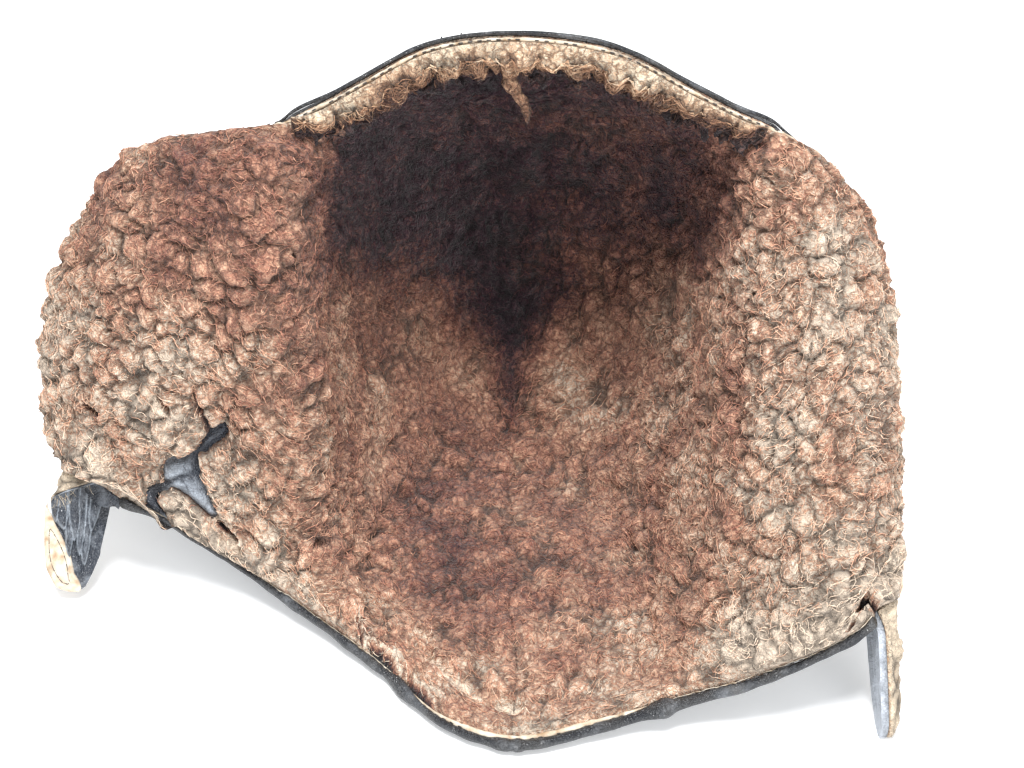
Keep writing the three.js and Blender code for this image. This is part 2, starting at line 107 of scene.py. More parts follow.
# %% [markdown]
# ## Curves through the ribs
# A smooth curve must pass through all ribs and not wiggle where two lie close together. So it
# spends on each gap a time that grows with the square root of the gap, which keeps it calm.
# A rib's numbers for roundness and sinking are simply read in between.

# %% Curves through the ribs
def placed(point, side):
    """A point of the opening's own frame, set on the table."""
    across, up, deep = point
    reach = LEFT_FLAP_REACH if side < 0 else RIGHT_FLAP_REACH
    x = min(across, 1) * HEAD_HALF_WIDTH + max(across - 1, 0) * reach
    rise = BROW_TO_NAPE / 2 * (1 + up)
    lifted = np.array([side * x, 0, LEATHER])
    return lifted + UP_THE_OPENING * rise + INTO_CROWN * deep * CROWN_DEPTH


def smooth_line(points):
    """A smooth curve through points. It returns a function of u, which runs from 0 to 1."""
    points = np.array(points)
    padded = np.vstack([2 * points[0] - points[1], points, 2 * points[-1] - points[-2]])
    gaps = np.sqrt(np.linalg.norm(np.diff(padded, axis=0), axis=1))

    def at(u):
        span = np.clip(u, 0, 1) * (len(points) - 1)
        first = np.minimum(span.astype(int), len(points) - 2)
        p0, p1, p2, p3 = (padded[first + k] for k in range(4))
        d0, d1, d2 = (gaps[first + k][..., None] for k in range(3))
        leave = ((p1 - p0) / d0 - (p2 - p0) / (d0 + d1) + (p2 - p1) / d1) * d1
        arrive = ((p2 - p1) / d1 - (p3 - p1) / (d1 + d2) + (p3 - p2) / d2) * d1
        w = (span - first)[..., None]
        bend = (3 * (p2 - p1) - 2 * leave - arrive) * w**2
        return p1 + leave * w + bend + (2 * (p1 - p2) + leave + arrive) * w**3

    return at


face_line, middle_line, neck_line = (
    smooth_line([placed(getattr(rib, place), side) for rib, side in RIBS])
    for place in ("face", "middle", "neck")
)


def column_at(s, column):
    """A column of the table, read between two ribs."""
    return np.interp(s, np.linspace(0, 1, len(RIBS)), [getattr(rib, column) for rib, _ in RIBS])


print("the face edge spans", round(float(np.ptp(face_line(np.linspace(0, 1, 50))[:, 0]))), "mm across")

# %% [markdown]
# ## Points of the skin
# At each s, half an oval joins the face edge, the middle and the neck edge. Two things that soft
# leather does are added. At the brow the stitched edge flares out a little, and is pinched in
# just behind. And where the crown lies on the table, its own weight flattens it.

# %% Points of the skin
REST_BLEND = 6.0
BROW_ENDS = (0.2, 0.27)
BROW_FLARE, BROW_FLARE_T = 1.6, 0.03
BROW_PINCH, BROW_PINCH_T, BROW_PINCH_REACH = 1.8, 0.1, 0.05
SKIN_STEP = 1e-3


def mix(a, b, share):
    return a + (b - a) * share


def ease(value, low=0.0, high=1.0):
    """A smooth step from 0 at low to 1 at high."""
    share = np.clip((value - low) / (high - low), 0, 1)
    return share * share * (3 - 2 * share)


def bell(value, middle, reach):
    """1 at the middle, falling away smoothly on both sides."""
    return np.exp(-(((value - middle) / reach) ** 2))


def unit(vectors):
    return vectors / np.linalg.norm(vectors, axis=-1, keepdims=True)


def near_brow(s):
    """1 over the brow, and 0 from the temples on."""
    return 1 - ease(np.abs(s - MIDDLE_S), *BROW_ENDS)


def skin(s, t):
    """Points on the inner face of the leather."""
    s, t = np.broadcast_arrays(np.asarray(s, float), np.asarray(t, float))
    face, middle, neck = face_line(s), middle_line(s), neck_line(s)
    centre = (face + neck) / 2
    roundness = column_at(s, "round")
    along = mix(1 - 2 * t, np.cos(np.pi * t), roundness)[..., None]
    bow = mix(4 * t * (1 - t), np.sin(np.pi * t), roundness)[..., None]
    sunk = (column_at(s, "sink") * CROWN_DEPTH * np.sin(np.pi * t * t))[..., None]
    point = centre + (face - centre) * along + (middle - centre) * bow + INTO_CROWN * sunk
    flare = BROW_FLARE * bell(t, 0, BROW_FLARE_T)
    flare = flare - BROW_PINCH * bell(t, BROW_PINCH_T, BROW_PINCH_REACH)
    point = point + unit(face - centre) * (flare * near_brow(s))[..., None]
    share = np.clip((point[..., 2] - LEATHER + REST_BLEND) / (2 * REST_BLEND), 0, 1)
    rested = LEATHER + REST_BLEND * share**2
    point[..., 2] = np.where(share < 1, rested, point[..., 2])
    return point


Frame = namedtuple("Frame", "point along_s along_t out s_per_mm t_per_mm")


def frame_at(s, t):
    """The skin's point and directions: along s, towards the neck edge, and out of the leather."""
    s, t = np.broadcast_arrays(np.asarray(s, float), np.asarray(t, float))
    s_low, s_high = np.maximum(0, s - SKIN_STEP), np.minimum(1, s + SKIN_STEP)
    t_low, t_high = np.maximum(0, t - SKIN_STEP), np.minimum(1, t + SKIN_STEP)
    along_s = skin(s_high, t) - skin(s_low, t)
    along_t = skin(s, t_high) - skin(s, t_low)
    s_per_mm = (s_high - s_low) / np.linalg.norm(along_s, axis=-1)
    t_per_mm = (t_high - t_low) / np.linalg.norm(along_t, axis=-1)
    out = unit(np.cross(along_s, along_t))
    return Frame(skin(s, t), unit(along_s), unit(along_t), out, s_per_mm, t_per_mm)


def offset_skin(s, t, distance):
    at = frame_at(s, t)
    return at.point + at.out * np.asarray(distance)[..., None]


print("the flaps' corners lie at", np.round(skin([0, 1], 0.5)).tolist(), "mm")

# %% [markdown]
# ## Panels of the skin
# A strip runs over the crown, and narrows to a point behind it. There the two side panels meet
# in one seam down to the nape. These functions say where a panel's edges lie on the skin.
# The same skin also tells where the frame put the helmet, from the panels' own boxes.

# %% Panels and the way into the frame
CROWN_STRIP_WIDTH = 44.0
SEAM_GAP = 0.4
STRIP_NARROWS = 9 / 20
STRIP_POINT = 13 / 20
STRIP_CLOSED = 13.1 / 20
STRIP_TIP_HALF = 0.8
MM = 0.001


def strip_half_width(t):
    share = (STRIP_POINT - t) / (STRIP_POINT - STRIP_NARROWS)
    return np.maximum(CROWN_STRIP_WIDTH / 2 * np.clip(share, 0, 1), STRIP_TIP_HALF)


def panel_s(side, across, t):
    """Where a side panel's point lies: across runs from its seam (0) to its corner (1)."""
    closed = np.clip((t - STRIP_POINT) / (STRIP_CLOSED - STRIP_POINT), 0, 1)
    half = mix(strip_half_width(t) + SEAM_GAP, SEAM_GAP / 2, closed)
    seam_edge = half * frame_at(MIDDLE_S, t).s_per_mm
    return MIDDLE_S + side * mix(seam_edge, MIDDLE_S, across)


def strip_s(across, t):
    half = strip_half_width(t) * (2 * across - 1)
    return MIDDLE_S + half * frame_at(MIDDLE_S, t).s_per_mm


own_nape = offset_skin(panel_s(1, 0.0, 1.0), 1.0, LEATHER)
TO_FRAME = np.array([
    (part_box("leather_left")[1].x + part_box("leather_right")[0].x) / 2 / MM,
    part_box("leather_right")[0].y / MM - own_nape[1],
    0,
])
print("the nape lies at", np.round(TO_FRAME, 2), "mm in the frame")


def make_mesh(name, points, faces, sharp_deg=180):
    """A smooth mesh object from points in millimetres, in the skin's own frame."""
    mesh = bpy.data.meshes.new(name)
    mesh.from_pydata(((points + TO_FRAME) * MM).tolist(), [], faces)
    mesh.shade_smooth()
    mesh.set_sharp_from_angle(angle=math.radians(sharp_deg))
    piece = bpy.data.objects.new(name, mesh)
    bpy.context.scene.collection.objects.link(piece)
    return piece


# %% [markdown]
# ## Camera
# We look a little down into the opening, from in front. The distance and the lens are chosen so
# that the helmet fills the picture with the same perspective as a photograph from under a metre.

# %% Camera
VIEW_ELEVATION = math.radians(35)
VIEW_DISTANCE = 820.0
VIEW_CENTRE = np.array([0, 70.0, 105.0])
LENS = 83.6

toward_us = np.array([0, -math.cos(VIEW_ELEVATION), math.sin(VIEW_ELEVATION)])
camera = bpy.data.objects.new("camera", bpy.data.cameras.new("camera"))
camera.data.lens = LENS
camera.location = (VIEW_CENTRE + TO_FRAME + toward_us * VIEW_DISTANCE) * MM
camera.rotation_euler = Vector(-toward_us).to_track_quat("-Z", "Y").to_euler()
bpy.context.scene.collection.objects.link(camera)
bpy.context.scene.camera = camera
print("camera at", [round(value, 3) for value in camera.location], "m, with a lens of", LENS, "mm")

# %% [markdown]
# ## Light
# The helmet was lit by a bright, soft studio light, so shadows are faint and the table is nearly
# white. A pale world fills the shadows, and two large area lights give the wool its form.

# %% Light
WORLD_STRENGTH = 0.7
scene = bpy.context.scene
scene.view_settings.view_transform = "Standard"
world = bpy.data.worlds.new("studio")
scene.world = world
world.use_nodes = True
world.node_tree.nodes["Background"].inputs["Color"].default_value = (0.97, 0.985, 1, 1)
world.node_tree.nodes["Background"].inputs["Strength"].default_value = WORLD_STRENGTH


def area_light(name, place, size, power):
    light = bpy.data.objects.new(name, bpy.data.lights.new(name, "AREA"))
    light.data.shape = "DISK"
    light.data.size = size
    light.data.energy = power
    light.location = place
    light.rotation_euler = (-Vector(place)).to_track_quat("-Z", "Y").to_euler()
    scene.collection.objects.link(light)
    print(name, "light:", power, "W over", size, "m")


area_light("key", (-0.1, -0.5, 2.0), 0.8, 62)
area_light("fill", (0.8, -1.7, 0.8), 1.4, 24)

# %% [markdown]
# ## The table
# The table is a plain white square, far wider than the picture. It glows faintly by itself, so
# that the shadows on it stay as pale as in such a studio. It is a stage for the helmet and no
# part of it.

# %% The table
FLOOR_HALF = 6.0
FLOOR_PAINT = {
    "Base Color": (0.93, 0.935, 0.94, 1),
    "Roughness": 0.6,
    "Emission Color": (0.96, 0.98, 1.0, 1),
    "Emission Strength": 0.22,
}
floor_mesh = bpy.data.meshes.new("table")
floor_mesh.from_pydata(
    [(x * FLOOR_HALF, y * FLOOR_HALF, 0) for x, y in ((-1, -1), (1, -1), (1, 1), (-1, 1))],
    [],
    [(0, 1, 2, 3)],
)
table = bpy.data.objects.new("table", floor_mesh)
scene.collection.objects.link(table)
paint = bpy.data.materials.new("white_table")
paint.use_nodes = True
for label, value in FLOOR_PAINT.items():
    paint.node_tree.nodes["Principled BSDF"].inputs[label].default_value = value
floor_mesh.materials.append(paint)
print("the table is", 2 * FLOOR_HALF, "m wide")

# %% [markdown]
# ## Tools for making effects
# An effect that several materials share, such as the fibres of wool or the grain of leather, is
# a node group: it has named inputs, and each material sets its own values on them. A small
# helper keeps the wiring short. It adds a node, sets its values, and links what is handed to it.

# %% Node helpers
def add_node(tree, kind, inputs=None, **settings):
    """Add a node. An input is a number, a colour, or an output socket to link from."""
    node = tree.nodes.new(kind)
    for key, value in settings.items():
        setattr(node, key, value)
    for key, value in (inputs or {}).items():
        if isinstance(value, bpy.types.NodeSocket):
            tree.links.new(value, node.inputs[key])
        else:
            node.inputs[key].default_value = value
    return node


def math_node(tree, operation, first, second=0.0, clamp=False):
    node = add_node(tree, "ShaderNodeMath", {0: first, 1: second}, operation=operation)
    node.use_clamp = clamp
    return node.outputs[0]


def ramp_node(tree, share, stops):
    """A colour ramp from (position, colour or grey) stops."""
    node = add_node(tree, "ShaderNodeValToRGB", {"Fac": share})
    elements = node.color_ramp.elements
    while len(elements) < len(stops):
        elements.new(1)
    for element, (position, colour) in zip(elements, stops):
        element.position = position
        element.color = (*colour, 1) if isinstance(colour, tuple) else (colour, colour, colour, 1)
    return node.outputs["Color"]


def blend_node(tree, kind, share, a, b):
    """Mix two colours the way of kind, such as MIX or MULTIPLY."""
    node = add_node(tree, "ShaderNodeMix", data_type="RGBA", blend_type=kind)
    for socket, value in zip((node.inputs[0], node.inputs[6], node.inputs[7]), (share, a, b)):
        if isinstance(value, bpy.types.NodeSocket):
            tree.links.new(value, socket)
        else:
            socket.default_value = value
    return node.outputs[2]


def new_group(name, inputs, outputs):
    """A shader node group with named sockets. Inputs map a name to its starting number."""
    group = bpy.data.node_groups.new(name, "ShaderNodeTree")
    for label, start in inputs.items():
        kind = "NodeSocketColor" if isinstance(start, tuple) else "NodeSocketFloat"
        socket = group.interface.new_socket(name=label, in_out="INPUT", socket_type=kind)
        socket.default_value = start
    for label, kind in outputs.items():
        group.interface.new_socket(name=label, in_out="OUTPUT", socket_type=kind)
    start = group.nodes.new("NodeGroupInput")
    end = group.nodes.new("NodeGroupOutput")
    return group, start.outputs, end.inputs


def use_group(tree, group, inputs):
    return add_node(tree, "ShaderNodeGroup", inputs, node_tree=group).outputs


def object_point(tree):
    return add_node(tree, "ShaderNodeTexCoord").outputs["Object"]


def noise_node(tree, scale, detail, **values):
    """Soft noise over the object. Its scale counts bumps in a metre."""
    inputs = {"Vector": object_point(tree), "Scale": scale, "Detail": detail, **values}
    return add_node(tree, "ShaderNodeTexNoise", inputs)


def per_metre(tree, size):
    return math_node(tree, "DIVIDE", 1.0, size)


def attribute(tree, name):
    return add_node(tree, "ShaderNodeAttribute", attribute_name=name).outputs["Fac"]


def new_material(name, **values):
    """A material with a plain Principled shader, whose constant values are set by socket name."""
    material = bpy.data.materials.new(name)
    material.use_nodes = True
    shader = material.node_tree.nodes["Principled BSDF"]
    for key, value in values.items():
        shader.inputs[key.replace("_", " ")].default_value = value
    return material, material.node_tree, shader.inputs


print("materials so far:", sorted(kind.name for kind in bpy.data.materials))

# %% [markdown]
# ## Effects for wool
# Wool looks soft because each lock is a bundle of crimped fibres. Two things sell it: fine lines
# that swirl in curls, and painted shade that leaves the tips pale and darkens the gaps.
# A wave texture gives the lines. With a strong distortion its bands follow the contour lines of
# a smooth noise, and those close into curls of about a lock's size.

# %% Wool fibres as a group
WAVE_SCALE = 10.0
FUZZ_FINER = 9.0
TUFT_SWAY = 0.009
GAP_CLOSES = 4.5
CURL_SHARE = 0.7
GAP_SHARE = 0.5

wool_fibre, given, result = new_group(
    "wool_fibre",
    {"Curl Size": 0.005, "Lines": 40.0, "Tuft Size": 0.005},
    {"Height": "NodeSocketFloat", "Gap": "NodeSocketFloat"},
)
tree = wool_fibre
point = object_point(tree)
curls_per_metre = per_metre(tree, given["Curl Size"])
curls = add_node(
    tree,
    "ShaderNodeTexWave",
    {
        "Vector": point,
        "Scale": WAVE_SCALE,
        "Distortion": given["Lines"],
        "Detail": 4.0,
        "Detail Roughness": 0.62,
        "Detail Scale": math_node(tree, "DIVIDE", curls_per_metre, WAVE_SCALE),
    },
)
fuzz = noise_node(tree, math_node(tree, "MULTIPLY", curls_per_metre, FUZZ_FINER), 3.0)
tufts_per_metre = per_metre(tree, given["Tuft Size"])
sway = noise_node(tree, tufts_per_metre, 3.0)
centred = add_node(
    tree, "ShaderNodeVectorMath", {0: sway.outputs["Color"], 1: (0.5, 0.5, 0.5)}, operation="SUBTRACT"
)
shift = add_node(
    tree, "ShaderNodeVectorMath", {0: centred.outputs[0], "Scale": TUFT_SWAY}, operation="SCALE"
)
swayed = add_node(tree, "ShaderNodeVectorMath", {0: point, 1: shift.outputs[0]}, operation="ADD")
tufts = add_node(
    tree,
    "ShaderNodeTexVoronoi",
    {"Vector": swayed.outputs[0], "Scale": tufts_per_metre},
    feature="DISTANCE_TO_EDGE",
)
gap = math_node(tree, "MULTIPLY", tufts.outputs["Distance"], GAP_CLOSES, clamp=True)
curled = math_node(tree, "MULTIPLY", curls.outputs["Fac"], CURL_SHARE)
fine = math_node(tree, "ADD", curled, fuzz.outputs[0])
height = math_node(tree, "ADD", fine, math_node(tree, "MULTIPLY", gap, GAP_SHARE))
tree.links.new(gap, result["Gap"])
tree.links.new(height, result["Height"])
print("wool_fibre has", len(tree.nodes), "nodes")

# %% [markdown]
# ## The colour of old wool
# One number, the tone, runs from the deep brown of the hollow's painted shadow to cream. Two ramps
# turn it into a colour: one for wool that has kept its red-brown dye, and one for wool that light
# has faded to tan. Patches and single fibres shift the tone, and the fibres' height dips in the
# gaps, which adds a little painted shade there. Painted shade then darkens the creases on top.

# %% Wool colour as a group
DYED_WOOL = [
    (0.0, (0.026, 0.013, 0.021)),
    (0.25, (0.084, 0.037, 0.048)),
    (0.5, (0.310, 0.128, 0.092)),
    (0.72, (0.620, 0.310, 0.205)),
    (0.88, (0.840, 0.520, 0.350)),
    (1.0, (0.930, 0.760, 0.600)),
]
FADED_WOOL = [
    (0.0, (0.024, 0.014, 0.015)),
    (0.3, (0.110, 0.058, 0.040)),
    (0.55, (0.360, 0.200, 0.110)),
    (0.8, (0.660, 0.440, 0.270)),
    (1.0, (0.860, 0.700, 0.500)),
]
CREASE_SHADE = [(0.0, 0.07), (0.4, 0.55), (1.0, 1.0)]
PATCHES_PER_METRE = 45.0
PATCH_SHIFT = 0.34
FIBRE_SHIFT = 0.24
MEAN_FIBRE = 0.95

wool_colour, given, result = new_group(
    "wool_colour",
    {"Tone": 0.5, "Crease": 1.0, "Fibre": 0.5, "Faded": 0.0},
    {"Color": "NodeSocketColor"},
)
tree = wool_colour
patches = noise_node(tree, PATCHES_PER_METRE, 5.0).outputs[0]
patch_shift = math_node(tree, "MULTIPLY", math_node(tree, "SUBTRACT", patches, 0.5), PATCH_SHIFT)
over_mean = math_node(tree, "SUBTRACT", given["Fibre"], MEAN_FIBRE)
fibre_shift = math_node(tree, "MULTIPLY", over_mean, FIBRE_SHIFT)
tone = math_node(tree, "ADD", given["Tone"], math_node(tree, "ADD", patch_shift, fibre_shift))
dyed = ramp_node(tree, tone, DYED_WOOL)
faded = ramp_node(tree, tone, FADED_WOOL)
aged = blend_node(tree, "MIX", given["Faded"], dyed, faded)
shade = ramp_node(tree, given["Crease"], CREASE_SHADE)
tree.links.new(blend_node(tree, "MULTIPLY", 1.0, aged, shade), result["Color"])
print("wool_colour has", len(tree.nodes), "nodes")

# %% [markdown]
# ## Wool materials
# Wool scatters light softly, so its shader is rough, with a little sheen and hardly any gloss.
# Each kind of wool sets its own curl size, tufts, painted shade in the gaps and fading on the two
# groups. The tone and the creases are numbers on each mesh, so one material can be dark in one
# place and pale in another; the crease number sets how much painted shade falls there.

# %% Wool materials
LINES_IN_A_CURL = 26.0


def wool_material(name, curl_size=0.005, bump=0.0009, tuft_size=0.0045, gap_shade=0.55, faded=0.0):
    """One number sets how dark the painted shade in the gaps between tufts is, and faded how far dye
    has turned to tan.
    """
    material, tree, shader = new_material(
        name, Roughness=0.95, Sheen_Weight=0.12, Sheen_Roughness=0.5, Specular_IOR_Level=0.15
    )
    sizes = {"Curl Size": curl_size, "Lines": LINES_IN_A_CURL, "Tuft Size": tuft_size}
    made = use_group(tree, wool_fibre, sizes)
    fibre = made["Height"]
    between = math_node(tree, "ADD", math_node(tree, "MULTIPLY", made["Gap"], gap_shade), 1 - gap_shade)
    crease = math_node(tree, "MULTIPLY", attribute(tree, "crease"), between)
    colour = use_group(
        tree,
        wool_colour,
        {"Tone": attribute(tree, "tone"), "Crease": crease, "Fibre": fibre, "Faded": faded},
    )["Color"]
    tree.links.new(colour, shader["Base Color"])
    relief = add_node(tree, "ShaderNodeBump", {"Height": fibre, "Distance": bump, "Strength": 1.0})
    tree.links.new(relief.outputs[0], shader["Normal"])
    return material


flap_wool = wool_material("flap_wool")
crown_wool = wool_material("crown_wool", curl_size=0.004, gap_shade=0.7)
brow_wool = wool_material("brow_wool", tuft_size=0.004, gap_shade=0.7, faded=0.65)
loose_wool = wool_material("loose_wool", bump=0.0001, gap_shade=0.0)
tab_wool = wool_material("tab_wool", gap_shade=0.25, faded=0.6)
brow_fibre = wool_material("brow_fibre", bump=0.0001, gap_shade=0.0, faded=0.75)
print("wool:", flap_wool.name, crown_wool.name, brow_wool.name, tab_wool.name)

# %% [markdown]
# ## Effects for leather
# Old black leather shows three things: a fine pebbled grain, a grey scuff wherever it was rubbed,
# and a film of dust. The grain is the borders of small cells, and over it lie wrinkles, which are
# the lines where a larger noise passes through its middle value.

# %% Leather grain as a group
PEBBLE_EDGE = 3.0
PEBBLE_HEIGHT = 0.8
CREASE_SHARPNESS = 0.4
CREASE_DEPTH = 2.2

leather_grain, given, result = new_group(
    "leather_grain", {"Grain Size": 0.0011, "Wrinkle Size": 0.012}, {"Height": "NodeSocketFloat"}
)
tree = leather_grain
pebbles = add_node(
    tree,
    "ShaderNodeTexVoronoi",
    {"Vector": object_point(tree), "Scale": per_metre(tree, given["Grain Size"])},
    feature="DISTANCE_TO_EDGE",
)
wrinkles = noise_node(tree, per_metre(tree, given["Wrinkle Size"]), 4.0, Distortion=1.2)
ridges = math_node(tree, "ABSOLUTE", math_node(tree, "SUBTRACT", wrinkles.outputs[0], 0.5))
sharp = math_node(tree, "POWER", ridges, CREASE_SHARPNESS)
creased = math_node(tree, "MULTIPLY", sharp, CREASE_DEPTH)
rounded = math_node(tree, "MULTIPLY", pebbles.outputs[0], PEBBLE_EDGE)
pebbled = math_node(tree, "MINIMUM", rounded, PEBBLE_HEIGHT)
tree.links.new(math_node(tree, "ADD", creased, pebbled), result["Height"])
print("leather_grain has", len(tree.nodes), "nodes")

# %% [markdown]
# ## Scuffs and dust
# Leather turns grey first where it is rubbed, on edges and folds. So the scuffs are noise that
# only passes where the piece is marked as worn, and dust is a paler noise in broad patches.

# %% Scuffs and dust as groups
SCUFFS_BEGIN = 0.82
SCUFF_EDGE = 2.6
DUST = (0.33, 0.30, 0.26, 1)
DUST_PER_METRE = 90.0
DUST_FALLS = [(0.45, 0.0), (0.7, 1.0)]

worn_mask, given, result = new_group(
    "worn_mask", {"Wear": 0.3, "Size": 0.006}, {"Mask": "NodeSocketFloat"}
)
tree = worn_mask
scuffs = noise_node(tree, per_metre(tree, given["Size"]), 7.0, Roughness=0.7)
missing = math_node(tree, "SUBTRACT", scuffs.outputs[0], SCUFFS_BEGIN)
over = math_node(tree, "ADD", missing, given["Wear"])
tree.links.new(math_node(tree, "MULTIPLY", over, SCUFF_EDGE, clamp=True), result["Mask"])

dust_film, given, result = new_group(
    "dust_film", {"Color": (0.02, 0.02, 0.02, 1.0), "Amount": 0.2}, {"Color": "NodeSocketColor"}
)
tree = dust_film
specks = ramp_node(tree, noise_node(tree, DUST_PER_METRE, 8.0).outputs[0], DUST_FALLS)
share = math_node(tree, "MULTIPLY", specks, given["Amount"])
tree.links.new(blend_node(tree, "MIX", share, given["Color"], DUST), result["Color"])
print("node groups:", [group.name for group in bpy.data.node_groups])

# %% [markdown]
# ## Leather materials
# The same leather is nearly black and shiny where it is whole, and grey and dull where it is
# rubbed. So the mask of the scuffs drives the colour and the roughness together. The panels, the
# bound edges and the tabs differ in their two colours and in the size of their wrinkles.

# %% Leather materials
SHINY, DULL = 0.27, 0.6
LEATHER_GRAIN = 0.0011
DUST_ON_LEATHER = 0.09


def leather_material(name, dark, worn, wrinkle=0.012, bump=0.00022):
    material, tree, shader = new_material(name, Roughness=0.5, Specular_IOR_Level=0.5)
    mask = use_group(tree, worn_mask, {"Wear": attribute(tree, "wear")})["Mask"]
    colour = blend_node(tree, "MIX", mask, (*dark, 1), (*worn, 1))
    dusty = use_group(tree, dust_film, {"Color": colour, "Amount": DUST_ON_LEATHER})["Color"]
    tree.links.new(dusty, shader["Base Color"])
    rough = add_node(tree, "ShaderNodeMapRange", {"Value": mask, "To Min": SHINY, "To Max": DULL})
    tree.links.new(rough.outputs[0], shader["Roughness"])
    sizes = {"Grain Size": LEATHER_GRAIN, "Wrinkle Size": wrinkle}
    height = use_group(tree, leather_grain, sizes)["Height"]
    relief = add_node(tree, "ShaderNodeBump", {"Height": height, "Distance": bump, "Strength": 1.0})
    tree.links.new(relief.outputs[0], shader["Normal"])
    return material


panel_leather = leather_material("panel_leather", (0.011, 0.012, 0.015), (0.15, 0.155, 0.165))
bound_leather = leather_material(
    "bound_leather", (0.016, 0.018, 0.022), (0.15, 0.16, 0.175), wrinkle=0.004, bump=0.0003
)
tab_leather = leather_material(
    "tab_leather", (0.034, 0.040, 0.052), (0.27, 0.30, 0.34), wrinkle=0.006, bump=0.0003
)
# The right tab's leather, painted pale as a painted reflection of the white table.
pale_reflecting_leather = leather_material(
    "pale_reflecting_leather", (0.12, 0.135, 0.155), (0.42, 0.45, 0.50), wrinkle=0.006, bump=0.0003
)
print("materials so far:", [material.name for material in bpy.data.materials])

# %% [markdown]
# ## Noise for shapes
# The locks themselves have to be real shapes, because they show at the outline. Cellular noise
# makes them: it scatters a centre in each cell of a lattice, and a point belongs to the nearest
# one. Each centre becomes a rounded lock, and the border between two becomes the gap.
# A second, smooth noise first bends the points, so that no border stays straight.

# %% Noise for shapes
HASH_PRIMES = (73856093, 19349663, 83492791, 2654435761)
HASH_FACTOR = 1274126177
HASH_LARGEST = 0x7FFFFFFF


def scatter(cells, seed):
    """Three repeatable random numbers from 0 to 1 for each cell of the lattice."""
    cells = cells.astype(np.int64)
    mixed = np.full(cells.shape[:-1], seed * HASH_PRIMES[3], np.int64)
    for axis in range(3):
        mixed ^= cells[..., axis] * HASH_PRIMES[axis]
    channels = []
    for _ in range(3):
        mixed = ((mixed ^ (mixed >> 13)) * HASH_FACTOR) & HASH_LARGEST
        channels.append(mixed / HASH_LARGEST)
    return np.stack(channels, -1)


def smooth_noise(points, size, seed):
    """Three channels of soft noise from -1 to 1, whose bumps are about size millimetres wide."""
    scaled = points / size
    base = np.floor(scaled)
    part = scaled - base
    part = part * part * (3 - 2 * part)
    total = np.zeros(points.shape)
    for corner in product((0, 1), repeat=3):
        weight = np.prod(np.where(corner, part, 1 - part), axis=-1, keepdims=True)
        total += weight * scatter(base + corner, seed)
    return total * 2 - 1


def noise(points, size, seed, channel=0):
    return smooth_noise(points, size, seed)[..., channel]


Locks = namedtuple("Locks", "nearest second own")


def locks_at(points, size, seed):
    """Cellular noise: distance to the nearest and second lock, and the nearest one's numbers."""
    scaled = points / size
    base = np.floor(scaled)
    nearest = np.full(points.shape[:-1], 9.0)
    second = nearest.copy()
    own = np.zeros(points.shape)
    for corner in product((-1, 0, 1), repeat=3):
        numbers = scatter(base + corner, seed)
        distance = np.linalg.norm(scaled - base - corner - numbers, axis=-1)
        closer = distance < nearest
        second = np.where(closer, nearest, np.minimum(second, distance))
        own[closer] = numbers[closer]
        nearest = np.where(closer, distance, nearest)
    return Locks(nearest, second, own)


samples = np.random.default_rng(1).uniform(0, 100, (2000, 3))
print("soft noise runs from", np.round(noise(samples, 10, 0).min(), 2), "to",
      np.round(noise(samples, 10, 0).max(), 2))

# %% [markdown]
# ## Closing a layer
# Leather and fleece are both layers with two faces. Only one face of each needs fine detail, so
# a layer is made from a coarse grid and a fine grid, and a rim of triangles closes the space
# between them. The result is one closed body, as a real layer is.

# %% Closing a layer
def grid_faces(rows, columns, start):
    at = start + np.arange(rows * columns).reshape(rows, columns)
    quads = np.stack([at[:-1, :-1], at[:-1, 1:], at[1:, 1:], at[1:, :-1]], -1).reshape(-1, 4)
    rim = np.concatenate([at[0, :-1], at[:-1, -1], at[-1, :0:-1], at[:0:-1, 0]])
    return quads, rim


def layer(coarse, fine, coarse_outside):
    """Points and faces of a closed body between a coarse grid and a grid several times finer."""
    finer = (fine.shape[0] - 1) // (coarse.shape[0] - 1)
    coarse_quads, coarse_rim = grid_faces(*coarse.shape[:2], 0)
    fine_quads, fine_rim = grid_faces(*fine.shape[:2], coarse.shape[0] * coarse.shape[1])
    step = np.arange(len(coarse_rim))
    triangles = [
        np.stack([coarse_rim, fine_rim[at], np.roll(fine_rim, -1)[at]], -1)
        for at in (step * finer + n for n in range(finer))
    ]
    last = np.roll(fine_rim, -finer)[step * finer]
    triangles.append(np.stack([coarse_rim, last, np.roll(coarse_rim, -1)], -1))
    triangles = np.concatenate(triangles)
    fine_quads = fine_quads[:, ::-1]
    if not coarse_outside:
        coarse_quads, fine_quads = coarse_quads[:, ::-1], fine_quads[:, ::-1]
        triangles = triangles[:, ::-1]
    points = np.concatenate([coarse.reshape(-1, 3), fine.reshape(-1, 3)])
    return points, [*coarse_quads.tolist(), *fine_quads.tolist(), *triangles.tolist()]


def even_grid(place, rows, columns, t_end=1.0):
    """A grid over a panel, given as a function of (across, t) that returns s."""
    t = np.linspace(0, t_end, rows + 1)[:, None] * np.ones(columns + 1)
    across = np.linspace(0, 1, columns + 1)[None, :] * np.ones((rows + 1, 1))
    return place(across, t), t


_, closed_faces = layer(np.zeros((2, 2, 3)), np.zeros((3, 3, 3)), coarse_outside=True)
print("one coarse cell and four fine ones close with", len(closed_faces), "faces")

# %% [markdown]
# ## Dressing a piece
# A material can be pale at one point and dark at another only if the mesh tells it where. So
# each point carries a few numbers, such as tone or wear, and the material reads them by name.
# Then a piece gets its material and the body that it moves with, and the solid that it stands for is
# hidden.

# %% Dressing a piece
DRESSED = []


def set_values(piece, name, values):
    """Store one number for each point of the mesh, for its material to read."""
    layer_of_values = piece.data.attributes.new(name, "FLOAT", "POINT")
    layer_of_values.data.foreach_set("value", np.ascontiguousarray(values, np.float32))


